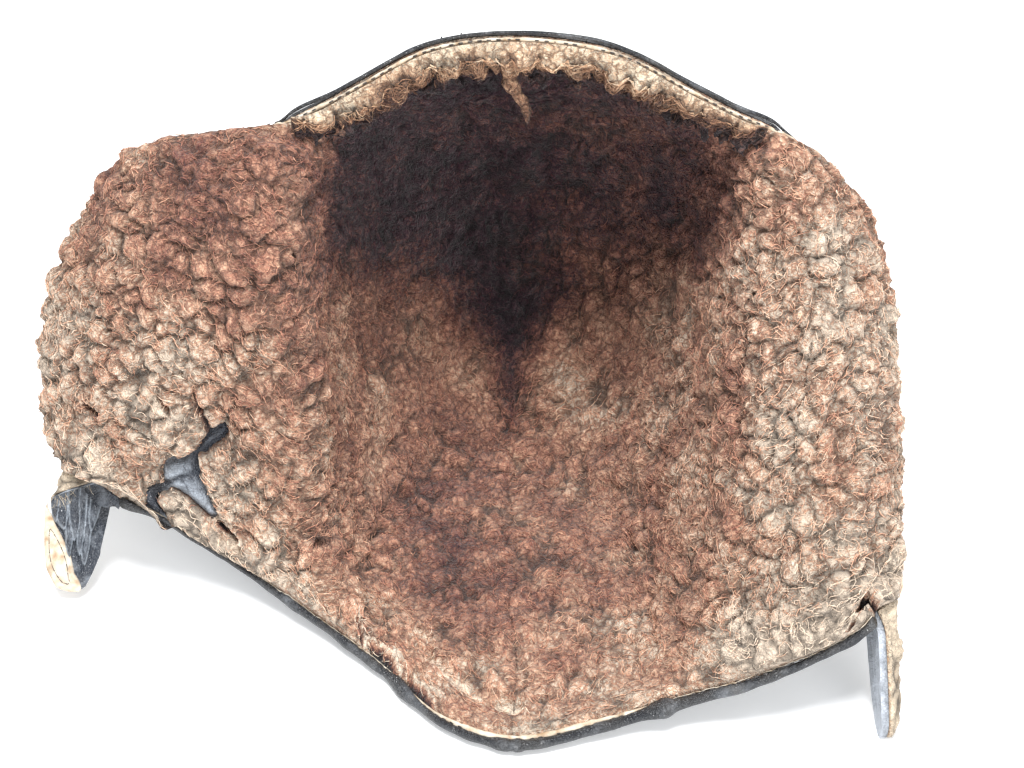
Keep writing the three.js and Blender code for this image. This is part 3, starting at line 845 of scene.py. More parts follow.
def dress(piece, material, slot, *nodes):
    """Give a piece its material and its body, and hide the solids it stands for."""
    piece.data.materials.append(material)
    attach(piece, "root")
    if nodes:
        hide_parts(*nodes)
    DRESSED.append(piece.name)
    return piece


print("numbers that materials read: tone and crease for wool, wear for leather")

# %% [markdown]
# ## The sheepskin lining
# A sheepskin is hide with its wool left on, sewn in with the wool inwards. On the flaps the wool
# stands in separate round locks, and in the crown, where a head has pressed it, it lies flatter.
# Each panel of lining gets a fine grid of points, which is pushed inwards by the thickness of
# the skin and by the height of its locks.

# %% Lining: thickness and locks
LOCK = 9.0
CURL = 4.6
STRAND = 3.1
FLEECE = 9.0
FLEECE_AT_EDGE = 4.5
LAYER_GAP = 0.3
BAND_SPAN = 0.45
BAND_T = 1 / 20
BAND_BED = 3.0
BED_MARGIN = 0.04
EDGE_T = 1.5 / 20


def flap_share(s):
    """0 in the crown and 1 on the flaps."""
    return ease(np.abs(s - MIDDLE_S), 0.13, 0.26)


def wool_locks(points, s):
    """Height of the wool over its mean, in millimetres, and how far out of a gap a point is."""
    flap = flap_share(s) * mix(0.85, 1, s > MIDDLE_S)
    bent = points + 3.8 * smooth_noise(points, 15, 1) + 1.9 * smooth_noise(points, 5.5, 2)
    big = locks_at(bent, LOCK, 3)
    small = locks_at(bent + 5, CURL, 4)
    round_big = np.sin(np.pi / 2 * np.clip((big.second - big.nearest) / 0.6, 0, 1)) ** 0.8
    round_small = np.sin(np.pi / 2 * np.clip((small.second - small.nearest) / 0.7, 0, 1))
    apart = ease(noise(points, 12, 11), -0.35, 0.35)
    round_big = mix(1, round_big, mix(apart, mix(0.7, 1, apart), flap))
    round_small = mix(1, round_small, 1 - 0.75 * apart)
    tall = mix(0.45, 1.4, big.own[..., 0])
    lie = unit(big.own * 2 - 1 + 1e-3)
    strands = np.sin(2 * np.pi * np.sum(bent * lie, -1) / STRAND)
    height = mix(3.0, 3.6, flap) * (round_big * tall - 0.6)
    height += mix(1.4, 0.9, flap) * (round_small - 0.6) + 0.4 * strands
    height += mix(1.6, 0.8, flap) * noise(points, 7, 7)
    height += 0.5 * noise(points, 2.4, 5) + 1.8 * noise(points, 34, 6)
    depth_of_gap = mix(0.04, 1, round_big) * mix(0.45, 1, round_small)
    out_of_gap = np.clip(depth_of_gap * mix(0.8, 1, 0.5 + 0.5 * strands), 0, 1)
    return height, out_of_gap, big


def wool_depth(s, t):
    """Mean thickness of the lining: thin at the bound edges, and pressed under the brow band."""
    under_band = 1 - ease(np.abs(s - MIDDLE_S), BAND_SPAN / 2, BAND_SPAN / 2 + BED_MARGIN)
    from_face = np.maximum(t - BAND_T * under_band, 0)
    from_corner = np.minimum(s, 1 - s) * 30 + 0.5
    full = ease(np.minimum(np.minimum(from_face, 1 - t) / EDGE_T, from_corner), -0.2, 1.0)
    pressed = under_band * (1 - ease(t, BAND_T * 1.1, BAND_T * 1.6))
    return mix(mix(FLEECE_AT_EDGE, FLEECE, full), BAND_BED, pressed), full * (1 - pressed)


print("wool is", FLEECE, "mm deep, in locks of", LOCK, "mm and curls of", CURL, "mm")

# %% [markdown]
# ## Where the wool is dark and where it is pale
# Painted shadow stands for the brow's shadow here: high up in the hollow the wool is painted deep
# brown, above an edge that dips in a V towards the nape, so a lit wedge reaches up between two
# shaded cheeks. A table lists the other places that are paler or darker.
# Each row changes the tone inside a window of s and t. A window's four numbers say where it
# begins to fade in, where it is full, where it begins to fade out, and where it ends.

# %% Lining: tone
WHOLE = (-1, 0, 1, 2)
Patch = namedtuple("Patch", "change s t")
TONE_PATCHES = [
    Patch(0.20, WHOLE, (0.8, 1, 1, 2)),
    Patch(0.12, WHOLE, (-1, 0, 0, 0.06)),
    Patch(0.14, (-1, 0, 0, 0.09), WHOLE),
    Patch(0.14, (0.91, 1, 1, 2), WHOLE),
    Patch(-0.20, (0.07, 0.19, 0.2, 0.34), (-1, 0, 0.25, 0.55)),
    Patch(-0.10, (0.41, 0.47, 0.53, 0.59), (0.66, 0.76, 1, 2)),
    Patch(0.06, (-1, 0, 0.34, 0.42), (0.6, 0.8, 1, 2)),
    Patch(0.08, (0.38, 0.46, 0.54, 0.62), (0.9, 0.97, 1, 2)),
    Patch(0.25, (0.24, 0.37, 0.63, 0.76), (-1, 0, 0.004, 0.03)),
]
# Where the painted shadow of the brow begins, as a share of the opening's height, in the middle and at
# the sides, how wide the middle dip is, and the shadow's tone on each side.
SHADOW_EDGE_MIDDLE, SHADOW_EDGE_SIDES, SHADOW_V_WIDTH = 0.46, 0.69, 25.0
SHADOW_TONE_LEFT, SHADOW_TONE_RIGHT = 0.14, 0.24
CROWN_TONE, FLAP_TONE = 0.61, 0.86
RIGHT_PALER = 0.06
# Painted light: the crown is a little paler just below the painted shadow.
LIT_BELOW_SHADOW = 0.07


def window(value, sides):
    fade_in, full, fade_out, gone = sides
    return ease(value, fade_in, full) * (1 - ease(value, fade_out, gone))


def wool_tone(points, s, t):
    """Colour of the wool from 0, deep brown of the painted shadow in the hollow, to 1, cream along the
    edges.
    """
    from_nape = points - skin(MIDDLE_S, 1.0)
    deep = from_nape @ INTO_CROWN / CROWN_DEPTH
    up = from_nape @ UP_THE_OPENING / BROW_TO_NAPE
    # Painted shadow of the brow: darker above a V-shaped edge, mostly in the crown.
    aside = 1 - np.exp(-np.abs(points[..., 0]) / SHADOW_V_WIDTH)
    shadow_edge = mix(SHADOW_EDGE_MIDDLE, SHADOW_EDGE_SIDES, aside)
    brow_shadow = ease(up, shadow_edge - 0.1, shadow_edge + 0.1) * ease(deep, -0.02, 0.25)
    brow_shadow *= mix(1, 0.4, flap_share(s)) * ease(s, 0.08, 0.24)
    hollow = mix(SHADOW_TONE_LEFT, SHADOW_TONE_RIGHT, ease(s, 0.5, 0.56))
    tone = mix(CROWN_TONE, FLAP_TONE, ease(np.abs(s - MIDDLE_S), 0.08, 0.38))
    tone = mix(tone, hollow, brow_shadow) + RIGHT_PALER * (s > MIDDLE_S)
    tone += 0.1 * noise(points, 28, 8, channel=1) + 0.12 * noise(points, 11, 10, channel=1)
    # Painted light, just below the painted shadow of the brow.
    tone += LIT_BELOW_SHADOW * ease(up, 0.35, 0.5) * (1 - brow_shadow) * (1 - flap_share(s))
    for patch in TONE_PATCHES:
        tone += patch.change * window(s, patch.s) * window(t, patch.t)
    return tone


print(len(TONE_PATCHES), "patches of another tone")

# %% [markdown]
# ## Damage in the lining
# Old sheepskin tears where it was sewn and pulled. Here it has a star-shaped tear beside the left
# tab, a few slits, and places where the wool has worn off to the cream hide. Each spot is an
# ellipse on the skin, and the star is an outline around its own middle, so both bend with the
# skin. Inside them the wool is pressed down to almost nothing, and around them its hide shows.
# A few spots do the opposite: they raise a matted pad of wool.

# %% Damage in the lining
Spot = namedtuple("Spot", "s t half_along half_down turn rise tone rim")
SPOTS = [
    Spot(0.142, 0.674, 1.3, 3.6, -28, 0.4, 0.0, 1.6),
    Spot(0.169, 0.679, 1.0, 10.0, -6, 0.4, 0.0, 0.0),
    Spot(0.176, 0.931, 4.8, 1.9, 15, 0.4, 0.0, 1.0),
    Spot(0.180, 0.960, 5.5, 2.6, 17, 3.2, 1.05, 0.0),
    Spot(0.072, 0.676, 4.0, 1.7, 45, 1.5, 0.0, 0.0),
    Spot(0.341, 0.985, 1.3, 8.0, -10, 0.4, 0.0, 0.6),
    Spot(0.366, 1.0, 8.0, 5.0, 8, 0.4, 0.0, 1.0),
    Spot(0.412, 1.0, 7.0, 5.0, -8, 0.4, 0.0, 1.0),
    Spot(0.388, 0.980, 3.4, 3.0, 0, 8.0, 1.1, 0.0),
    Spot(0.434, 0.984, 3.4, 2.4, 0, 7.0, 1.1, 0.0),
    Spot(0.425, 0.914, 4.5, 3.2, 20, 6.0, 0.98, 0.0),
    Spot(0.449, 0.954, 15.0, 2.6, 33, 5.5, 0.98, 0.0),
    Spot(0.497, 0.972, 4.6, 3.4, 10, 3.0, 1.1, 0.0),
    Spot(0.968, 0.950, 3.2, 3.4, -30, 0.4, 0.25, 1.0),
    Spot(0.930, 0.990, 2.2, 1.4, -20, 0.4, 0.0, 0.8),
]
RAGGED = 2.6

TEAR_S, TEAR_T = 0.165, 0.80
TEAR = [
    (11, -20), (8, -15), (5, -12), (1, -7), (-3, -3), (-4, 5), (-3, 12), (1, 20), (-3, 24),
    (-8, 20), (-13, 18), (-20, 17), (-27, 20), (-36, 25), (-38, 38), (-54, 38), (-52, 25),
    (-38, 19), (-25, 15), (-22, 7), (-15, 1), (-11, 1), (-4, -5), (-1, -11), (2, -15),
    (4, -17), (8, -22),
]
TEAR_THINS_OVER = 9.0
WOOL_PAD = 4


def chart(s, t, middle_s, middle_t):
    """Millimetres along and down the skin from a middle."""
    at = frame_at(middle_s, middle_t)
    return (s - middle_s) / at.s_per_mm, (t - middle_t) / at.t_per_mm


def outline_distance(x, y, corners):
    """Distance to an outline, in its own units. It is negative inside."""
    nearest = np.full(np.shape(x), np.inf)
    inside = np.zeros(np.shape(x), bool)
    for (ax, ay), (bx, by) in zip(corners, corners[1:] + corners[:1]):
        share = ((x - ax) * (bx - ax) + (y - ay) * (by - ay)) / ((bx - ax) ** 2 + (by - ay) ** 2)
        share = np.clip(share, 0, 1)
        nearest = np.minimum(nearest, np.hypot(x - mix(ax, bx, share), y - mix(ay, by, share)))
        if ay != by:
            inside ^= ((y > ay) != (y > by)) & (x < mix(ax, bx, (y - ay) / (by - ay)))
    return np.where(inside, -nearest, nearest)


def tear_distance(points, s, t):
    along, down = chart(s, t, TEAR_S, TEAR_T)
    return outline_distance(along, down, TEAR) + 0.7 * noise(points, RAGGED, 81)


def damaged(points, s, t, rise, tone, gap):
    """Press the wool down in the tear and the spots, and bare the hide around them."""
    away = tear_distance(points, s, t)
    rise = rise * mix(0.62, 1, ease(away, 0, TEAR_THINS_OVER))
    rise = mix(0.4, rise, ease(away, -0.4, 0.6))
    tone = mix(0.92, tone, ease(np.abs(away - 0.8), 0.2, 1.2)) * ease(away, -1.2, 0.2)
    gap = gap * ease(away, -0.8, 0.5)
    for spot in SPOTS:
        along, down = chart(s, t, spot.s, spot.t)
        turn = math.radians(spot.turn)
        u = along * math.cos(turn) + down * math.sin(turn)
        v = down * math.cos(turn) - along * math.sin(turn)
        size = min(spot.half_along, spot.half_down)
        away = (np.hypot(u / spot.half_along, v / spot.half_down) - 1) * size
        away = away + 0.25 * size * noise(points, RAGGED, 82)
        outside = ease(away, -0.5, 0.5)
        rise = mix(np.minimum(spot.rise, rise) if spot.rise < WOOL_PAD else spot.rise, rise, outside)
        tone = mix(spot.tone, tone, outside)
        gap = mix(1.0 if spot.tone > 0.5 else 0.0, gap, outside)
        if spot.rim:
            rim = 1 - ease(np.abs(away - spot.rim / 2), 0, spot.rim)
            tone = mix(tone, 1.1, rim)
            gap = mix(gap, 1.0, rim)
    return rise, tone, gap


print(len(SPOTS), "spots and a tear with", len(TEAR), "corners")

# %% [markdown]
# ## The wool side of a panel
# Now thickness, locks, tone and damage come together on one fine grid. Beside a seam the wool is
# pulled in, but unevenly, because locks fall over the thread and hide it in places. At the left
# tab the lining has slumped past its edge. A coarse grid of the hide closes each panel behind.

# %% Lining: its wool side as a grid
SEAM_WANDER = 2.4
SEAM_SOFT = 4.0
SEAM_CLOSED = 0.7
OVERHANG = 9.0
Fleece = namedtuple("Fleece", "points out s t tone gap turn")


def fleece_grid(place, rows, columns, seam_distance, closes, t_end=1.0):
    """The wool side of a panel. seam_distance gives the millimetres to its nearest seam."""
    s, t = even_grid(place, rows, columns, t_end)
    at = frame_at(s, t)
    depth, full = wool_depth(s, t)
    base = at.point - at.out * (LAYER_GAP + depth)[..., None]
    height, gap, locks = wool_locks(base, s)
    distance = seam_distance(s, t)
    which_seam = np.sign(s - MIDDLE_S) * (strip_half_width(t) > STRIP_TIP_HALF)
    beside = np.stack([which_seam * 40, t * BROW_TO_NAPE, 0 * t], -1)
    pulled = mix(0.1, 1, ease(noise(beside, 13, 12), -0.25, 0.45))
    seam = mix(1, ease(distance, 0.0, SEAM_SOFT), pulled)
    rise = depth + height * mix(0.25, 1, full) * mix(0.6, 1, seam) - 0.8 * (1 - seam)
    # Painted shade darkens the crease beside a seam, less where locks fall over the thread.
    gap = gap * mix(mix(0.95, 0.35, pulled), 1, ease(distance, 0.0, 1.8))
    tone = wool_tone(base, s, t)
    rise, tone, gap = damaged(base, s, t, np.maximum(rise, 1.0), tone, gap)
    wander = SEAM_WANDER * noise(beside, 8, 9) * (1 - ease(distance, 0, 9))
    wander += closes * np.sign(s - MIDDLE_S) * SEAM_CLOSED * (1 - ease(distance, 0, 3))
    points = at.point - at.out * (LAYER_GAP + rise)[..., None] + at.along_s * wander[..., None]
    slumped = OVERHANG * (1 - ease(s, 0.05, 0.11)) * ease(t, 0.72, 1)
    slumped = slumped * mix(0.3, 1, ease(s, 0, 0.03))
    points = points + at.along_t * slumped[..., None]
    return Fleece(points, -at.out, s, t, tone, gap, locks.own[..., 1])


def fleece_piece(name, grid, place, finer, material, slot, node, t_end=1.0):
    rows, columns = (n // finer for n in (grid.s.shape[0] - 1, grid.s.shape[1] - 1))
    s, t = even_grid(place, rows, columns, t_end)
    back = offset_skin(s, t, np.full(s.shape, -LAYER_GAP))
    points, faces = layer(back, grid.points, coarse_outside=True)
    piece = make_mesh(name, points, faces)
    hide_side = np.full(back.shape[0] * back.shape[1], 0.85)
    set_values(piece, "tone", np.concatenate([hide_side, grid.tone.ravel()]))
    set_values(piece, "crease", np.concatenate([hide_side, grid.gap.ravel()]))
    print(name, len(faces), "faces")
    return dress(piece, material, slot, node)


print("a lining closes with a gap of", LAYER_GAP, "mm to the leather")

# %% [markdown]
# ## Leather in the tear
# Through the star-shaped tear the back of the leather shows, scuffed blue-grey and lifted in a
# soft fold, with painted light on the fold towards its lower left and painted shade in its
# creases. It is a patch of fine cells that ends where the outline does: the cells inside are
# kept, above and below, and walls join the two along the border of what is kept.

# %% Leather in the tear
PATCH_CELL = 0.6
PATCH_ALONG = (-55, 14)
PATCH_DOWN = (-24, 40)
PATCH_LIFT = 2.0
PATCH_FOLD = 1.3
PATCH_WRINKLE = 0.5


def cut_layer(top, bottom, keep):
    """A closed body from two equal grids, with only the cells of keep."""
    rows, columns = keep.shape
    at = np.arange((rows + 1) * (columns + 1)).reshape(rows + 1, columns + 1)
    lower = at.size
    quads = np.stack([at[:-1, :-1], at[:-1, 1:], at[1:, 1:], at[1:, :-1]], -1)[keep]
    faces = [*quads.tolist(), *(quads[:, ::-1] + lower).tolist()]
    padded = np.pad(keep, 1)
    for r, c in np.argwhere(keep):
        a, b, d, e = at[r, c], at[r, c + 1], at[r + 1, c + 1], at[r + 1, c]
        sides = (((0, 1), (b, a)), ((1, 2), (d, b)), ((2, 1), (e, d)), ((1, 0), (a, e)))
        for (down, across), (p, q) in sides:
            if not padded[r + down, c + across]:
                faces.append((int(p), int(q), int(q + lower), int(p + lower)))
    used = np.unique(np.concatenate([np.ravel(face) for face in faces]))
    renumber = np.full(lower * 2, -1)
    renumber[used] = np.arange(len(used))
    points = np.concatenate([top.reshape(-1, 3), bottom.reshape(-1, 3)])[used]
    return points, [renumber[list(face)].tolist() for face in faces], used % lower


def torn_patch():
    stations = np.arange(*PATCH_ALONG, PATCH_CELL), np.arange(*PATCH_DOWN, PATCH_CELL)
    along, down = np.meshgrid(*stations)
    middle = frame_at(TEAR_S, TEAR_T)
    s = TEAR_S + along * middle.s_per_mm
    t = np.minimum(TEAR_T + down * middle.t_per_mm, 1)
    at = frame_at(s, t)
    away = tear_distance(at.point - at.out * FLEECE, s, t)
    bent = at.point + 5 * smooth_noise(at.point, 14, 84)
    fold = np.abs(noise(bent, 11, 85))
    wrinkle = np.abs(noise(bent, 4, 86))
    lifted = PATCH_LIFT * ease(-away, 0, 4.5)
    folded = (PATCH_FOLD * ease(fold, 0, 0.35) + PATCH_WRINKLE * wrinkle) * ease(-away, 0, 2)
    height = 0.5 + lifted + folded
    top = at.point - at.out * (LAYER_GAP + 0.9 + height)[..., None]
    bottom = at.point - at.out * (LAYER_GAP + 0.6)
    centre = (away[:-1, :-1] + away[1:, 1:]) / 2
    points, faces, used = cut_layer(top, bottom, centre < 0.3)
    piece = make_mesh("torn_leather", points, faces)
    creased = np.abs(noise(bent, 5, 86))
    # Painted light: the fold turns greyer towards its lower left. Painted shade: the crease lines stay
    # darker.
    lit_fold = 0.5 * ease(fold, 0.05, 0.3) * ease(down - along * 0.8, -8, 30)
    lit = 0.22 + lit_fold - 0.2 * ease(0.1 - creased, 0, 0.1)
    set_values(piece, "wear", np.clip(lit, 0, 1.1).ravel()[used])
    print("torn_leather", len(faces), "faces")
    return dress(piece, tab_leather, "black_leather")


torn_patch()

# %% [markdown]
# ## Fibres
# A displaced surface alone looks like moulded foam. Real wool is read from its loose fibres, so
# thousands of thin tapering ones lie over it. Each is a three-sided tube that ends in a point.
# Its path is walked over the grid of the surface below: a start, a heading, and a turn for each
# step. All fibres of a lock share most of their heading and turn, and so they form curls.

# %% Fibres
FIBRE_RINGS = 4
FIBRE_SIDES = 3
FIBRE_SHADE = -0.07
FIBRE_SPREAD = 0.06


def walk_over(grid, row, column, heading, turn, stride):
    """Follow a surface grid from fractional cells, FIBRE_RINGS steps. It returns the paths."""
    rows, columns = grid.s.shape
    down = np.linalg.norm(np.diff(grid.points, axis=0), axis=-1)
    across = np.linalg.norm(np.diff(grid.points, axis=1), axis=-1)
    stops = []
    for _ in range(FIBRE_RINGS + 1):
        row = np.clip(row, 0, rows - 1.001)
        column = np.clip(column, 0, columns - 1.001)
        r, c = row.astype(int), column.astype(int)
        fr, fc = (row - r)[:, None], (column - c)[:, None]
        p = grid.points
        low = mix(p[r, c], p[r, c + 1], fc)
        high = mix(p[r + 1, c], p[r + 1, c + 1], fc)
        stops.append((mix(low, high, fr), grid.out[r, c]))
        column = column + np.cos(heading) * stride / np.maximum(across[r, c], 0.25)
        row = row + np.sin(heading) * stride / np.maximum(down[r, c], 0.25)
        heading = heading + turn
    return stops


def tubes(paths, outs, thickness):
    """Tapering tubes. Paths is [fibre, stop, xyz], and the last stop is the fine point."""
    count = paths.shape[0]
    ahead = unit(np.diff(paths, axis=1) + 1e-9)
    ahead = np.concatenate([ahead, ahead[:, -1:]], axis=1)[:, :FIBRE_RINGS]
    sideways = unit(np.cross(ahead, outs[:, :FIBRE_RINGS]))
    lift = np.cross(sideways, ahead)
    taper = np.linspace(1, 0.4, FIBRE_RINGS)[None, :, None, None]
    taper = taper * thickness[:, None, None, None] / 2
    angle = np.arange(FIBRE_SIDES) * 2 * np.pi / FIBRE_SIDES
    ring = sideways[:, :, None] * np.cos(angle)[:, None] + lift[:, :, None] * np.sin(angle)[:, None]
    rings = paths[:, :FIBRE_RINGS, None] + ring * taper
    points = np.concatenate([rings.reshape(count, -1, 3), paths[:, -1:]], axis=1)
    tip = FIBRE_RINGS * FIBRE_SIDES
    faces = [(0, 2, 1)]
    for k in range(FIBRE_SIDES):
        beside = (k + 1) % FIBRE_SIDES
        for n in range(FIBRE_RINGS - 1):
            a, b = n * FIBRE_SIDES + k, n * FIBRE_SIDES + beside
            faces += [(a, b, b + FIBRE_SIDES), (a, b + FIBRE_SIDES, a + FIBRE_SIDES)]
        last = (FIBRE_RINGS - 1) * FIBRE_SIDES
        faces.append((last + k, last + beside, tip))
    numbers = np.arange(count)[:, None, None] * points.shape[1] + np.array(faces)
    return points.reshape(-1, 3), numbers.reshape(-1, 3).tolist()


def fibre_piece(name, grid, count, length, thickness, loft, material, slot, seed=0):
    """Strew fibres over a grid, but not in its gaps. Loft is how far they stand off."""
    rng = np.random.default_rng(seed)
    down = np.linalg.norm(np.diff(grid.points, axis=0), axis=-1)[:, :-1]
    across = np.linalg.norm(np.diff(grid.points, axis=1), axis=-1)[:-1]
    chance = down * across * ease(grid.gap[:-1, :-1], 0.05, 0.3)
    cells = rng.choice(chance.size, size=count, p=(chance / chance.sum()).ravel())
    row, column = cells // chance.shape[1], cells % chance.shape[1]
    own_turn = grid.turn[row, column]
    heading = own_turn * 2 * np.pi + rng.normal(0, 0.5, count)
    turn = (own_turn * 7 % 1 - 0.5) * 2.2 + rng.normal(0, 0.45, count)
    reach = length * rng.uniform(0.6, 1.25, count)
    start_row, start_column = row + rng.random(count), column + rng.random(count)
    stops = walk_over(grid, start_row, start_column, heading, turn, reach / FIBRE_RINGS)
    rise = np.sin(np.linspace(0.15, 1.0, FIBRE_RINGS + 1) * np.pi * 0.62)
    lift = loft * rng.uniform(0.25, 1.0, count)
    outs = np.stack([out for _, out in stops], 1)
    paths = np.stack([point for point, _ in stops], 1) + outs * (rise * lift[:, None])[..., None]
    paths += rng.normal(0, 0.12, paths.shape)
    points, faces = tubes(paths, outs, thickness * rng.uniform(0.7, 1.3, count))
    piece = make_mesh(name, points, faces)
    each = FIBRE_RINGS * FIBRE_SIDES + 1
    tone = grid.tone[row, column] + FIBRE_SHADE + rng.normal(0, FIBRE_SPREAD, count)
    set_values(piece, "tone", np.repeat(tone, each))
    shade = mix(0.75, 1.0, grid.gap[row, column])
    set_values(piece, "crease", np.repeat(shade, each))
    print(name, count, "fibres,", len(faces), "faces")
    return dress(piece, material, slot)


print("a fibre has", FIBRE_RINGS * FIBRE_SIDES + 1, "points")

# %% [markdown]
# ## The three panels of lining
# The lining is cut like the leather: two side panels and a strip over the crown. The columns of
# both side panels run the same way along s, so that one rule turns all their faces outwards.
# Each panel gets its wool and then its loose fibres, which lie on the same grid of points.

# %% Lining: the two side panels and the crown strip
SIDE_CELLS = 230
STRIP_CELLS = (175, 50)
WOOL_FINER = 5


def side_place(side):
    """A panel's points with columns that run along s, so that all its faces turn the same way."""
    if side > 0:
        return lambda across, t: panel_s(1, across, t)
    return lambda across, t: panel_s(-1, 1 - across, t)


def side_seam_distance(side):
    return lambda s, t: np.abs(s - panel_s(side, 0.0, t)) / frame_at(s, t).s_per_mm


for side, name in ((-1, "left"), (1, "right")):
    place = side_place(side)
    grid = fleece_grid(place, SIDE_CELLS, SIDE_CELLS, side_seam_distance(side), -1)
    fleece_piece(f"wool_{name}", grid, place, WOOL_FINER, flap_wool, "brown_fleece", f"fleece_{name}")
    fibre_piece(
        f"fibres_{name}", grid, count=8400, length=6.4, thickness=0.36, loft=1.0,
        material=loose_wool, slot="brown_fleece", seed=20 + side,
    )


def strip_seam_distance(s, t):
    return strip_half_width(t) - np.abs(s - MIDDLE_S) / frame_at(s, t).s_per_mm


strip_fleece = fleece_grid(strip_s, *STRIP_CELLS, strip_seam_distance, 1, STRIP_POINT)
fleece_piece(
    "wool_strip", strip_fleece, strip_s, WOOL_FINER, crown_wool, "brown_fleece", "fleece_strip",
    STRIP_POINT,
)
fibre_piece(
    "fibres_strip", strip_fleece, count=2400, length=9.0, thickness=0.4, loft=1.2,
    material=loose_wool, slot="brown_fleece", seed=31,
)

# %% [markdown]
# ## The brow band
# Along the brow the sheepskin is turned in once more, so a thick roll of wool lies there and
# meets the forehead. It has seen the most light, so it has faded to tan. Its lower lip is
# ragged, with locks that hang down into the hollow. Its tone is painted darker towards that lip,
# as painted shade, and paler at its front, as painted light.

# %% Brow band
BAND_FROM = (1 - BAND_SPAN) / 2
BAND_GAP = 0.6
BAND_FLEECE = 7.0
BAND_LIP = 0.45
BAND_ROUND_FROM = 0.3
BAND_ROUND_TO = 0.9
BAND_FORWARD = 2.6
BAND_FRONT_BED = 1.9
BAND_CURLS = 1.45
BAND_CELLS = (28, 380)
BAND_FINER = 2
RIGHT_FOLD_S = 0.6
RIGHT_FOLD_REACH = 0.055
RIGHT_FOLD_DROP = 7.0


def band_place(across, t):
    return mix(BAND_FROM, 1 - BAND_FROM, across)


def band_back(s, t):
    """The face that lies on the lining. At its front it comes forward to meet the hide."""
    front = 1 - ease(t / BAND_T, 0.0, 0.3)
    bed = LAYER_GAP + mix(BAND_BED + BAND_GAP, BAND_FRONT_BED, front)
    at = frame_at(s, t)
    return at, bed, at.along_t * (-BAND_FORWARD * front)[..., None]


def band_grid(rows, columns):
    s, t = even_grid(band_place, rows, columns, BAND_T)
    at, bed, forward = band_back(s, t)
    j = t / BAND_T
    arch = np.sin(np.pi * mix(BAND_ROUND_FROM, BAND_ROUND_TO, j))
    ends = ease(np.minimum(s - BAND_FROM, 1 - BAND_FROM - s), 0.0, 0.11)
    base = at.point - at.out * (bed + BAND_FLEECE)[..., None]
    height, gap, locks = wool_locks(base, np.ones(s.shape))
    rise = BAND_FLEECE * mix(BAND_LIP, 1, arch) * mix(0.15, 1, ends)
    rise = rise + BAND_CURLS * height * mix(0.3, 1, ends)
    ragged = noise(base, 11, 41) + 0.7 * noise(base, 4, 43)
    fold = RIGHT_FOLD_DROP * bell(s, RIGHT_FOLD_S, RIGHT_FOLD_REACH)
    down = ease(j, 0.3, 1.0) * (5.0 * ragged * ends + fold)
    points = at.point - at.out * (bed + np.maximum(rise, 0.8))[..., None]
    points = points + at.along_t * down[..., None] + forward
    # Painted shade: the band darkens towards its lower lip, which faces down into the hollow. Painted
    # light: its front is paler.
    shade_from = mix(0.12, 0.3, ease(s, 0.44, 0.56))
    tone = 0.6 - 0.46 * ease(j - shade_from, 0, 0.45) + 0.36 * noise(points, 7, 42)
    tone += 0.16 * (1 - ease(j, 0.0, 0.25)) - 0.12 * (1 - ends)
    return Fleece(points, -at.out, s, t, tone, gap, locks.own[..., 1])


band = band_grid(*BAND_CELLS)
s, t = even_grid(band_place, *(cells // BAND_FINER for cells in BAND_CELLS), BAND_T)
at, bed, forward = band_back(s, t)
back = at.point - at.out * bed[..., None] + forward
points, faces = layer(back, band.points, coarse_outside=True)
brow_roll = make_mesh("brow_roll", points, faces)
# Painted shade: the band's back face darkens from its front towards the rear, where it lies on the
# lining.
shaded_back = mix(0.9, 0.1, ease(t / BAND_T, 0.0, 0.5)).ravel()
set_values(brow_roll, "tone", np.concatenate([shaded_back, band.tone.ravel()]))
set_values(brow_roll, "crease", np.concatenate([shaded_back, band.gap.ravel()]))
dress(brow_roll, brow_wool, "brow_fleece", "brow_band")
print("brow_roll", len(faces), "faces")

# %% [markdown]
# ## Locks that hang from the brow
# Along its lip the band ends in small locks that have felted into points. Each is a tube that
# thins towards its tip, sways a little and curls once or twice. One long lock hangs at the
# middle, where the band was sewn together.

# %% Locks that hang from the brow
HANGING_LOCKS = 96
LOCK_RINGS, LOCK_SIDES = 9, 8
LONG_LOCK = HANGING_LOCKS // 2
LONG_LOCK_LENGTH, LONG_LOCK_RADIUS, LONG_LOCK_TONE = 18, 2.6, 0.62
LOCK_FLAT = 0.7
LOCK_ROWS = (15, 26)
LOCK_MARGIN = 12


def lock_rings(path, heading, width):
    """Oval rings of points along each path."""
    across = unit(np.cross(heading, [0, 1, 0.2]))
    through = np.cross(across, heading)
    angle = np.arange(LOCK_SIDES) * 2 * np.pi / LOCK_SIDES
    wide = across[:, None] * np.cos(angle)[None, :, None]
    ring = wide + LOCK_FLAT * through[:, None] * np.sin(angle)[None, :, None]
    return path[:, :, None] + ring[:, None] * width[..., None, None]


def lock_faces():
    faces = []
    for n in range(HANGING_LOCKS):
        first = n * LOCK_RINGS * LOCK_SIDES
        for r, k in product(range(LOCK_RINGS - 1), range(LOCK_SIDES)):
            a = first + r * LOCK_SIDES + k
            b = first + r * LOCK_SIDES + (k + 1) % LOCK_SIDES
            faces.append((a, b, b + LOCK_SIDES, a + LOCK_SIDES))
        last = first + (LOCK_RINGS - 1) * LOCK_SIDES
        faces.append(tuple(first + k for k in reversed(range(LOCK_SIDES))))
        faces.append(tuple(last + k for k in range(LOCK_SIDES)))
    return faces


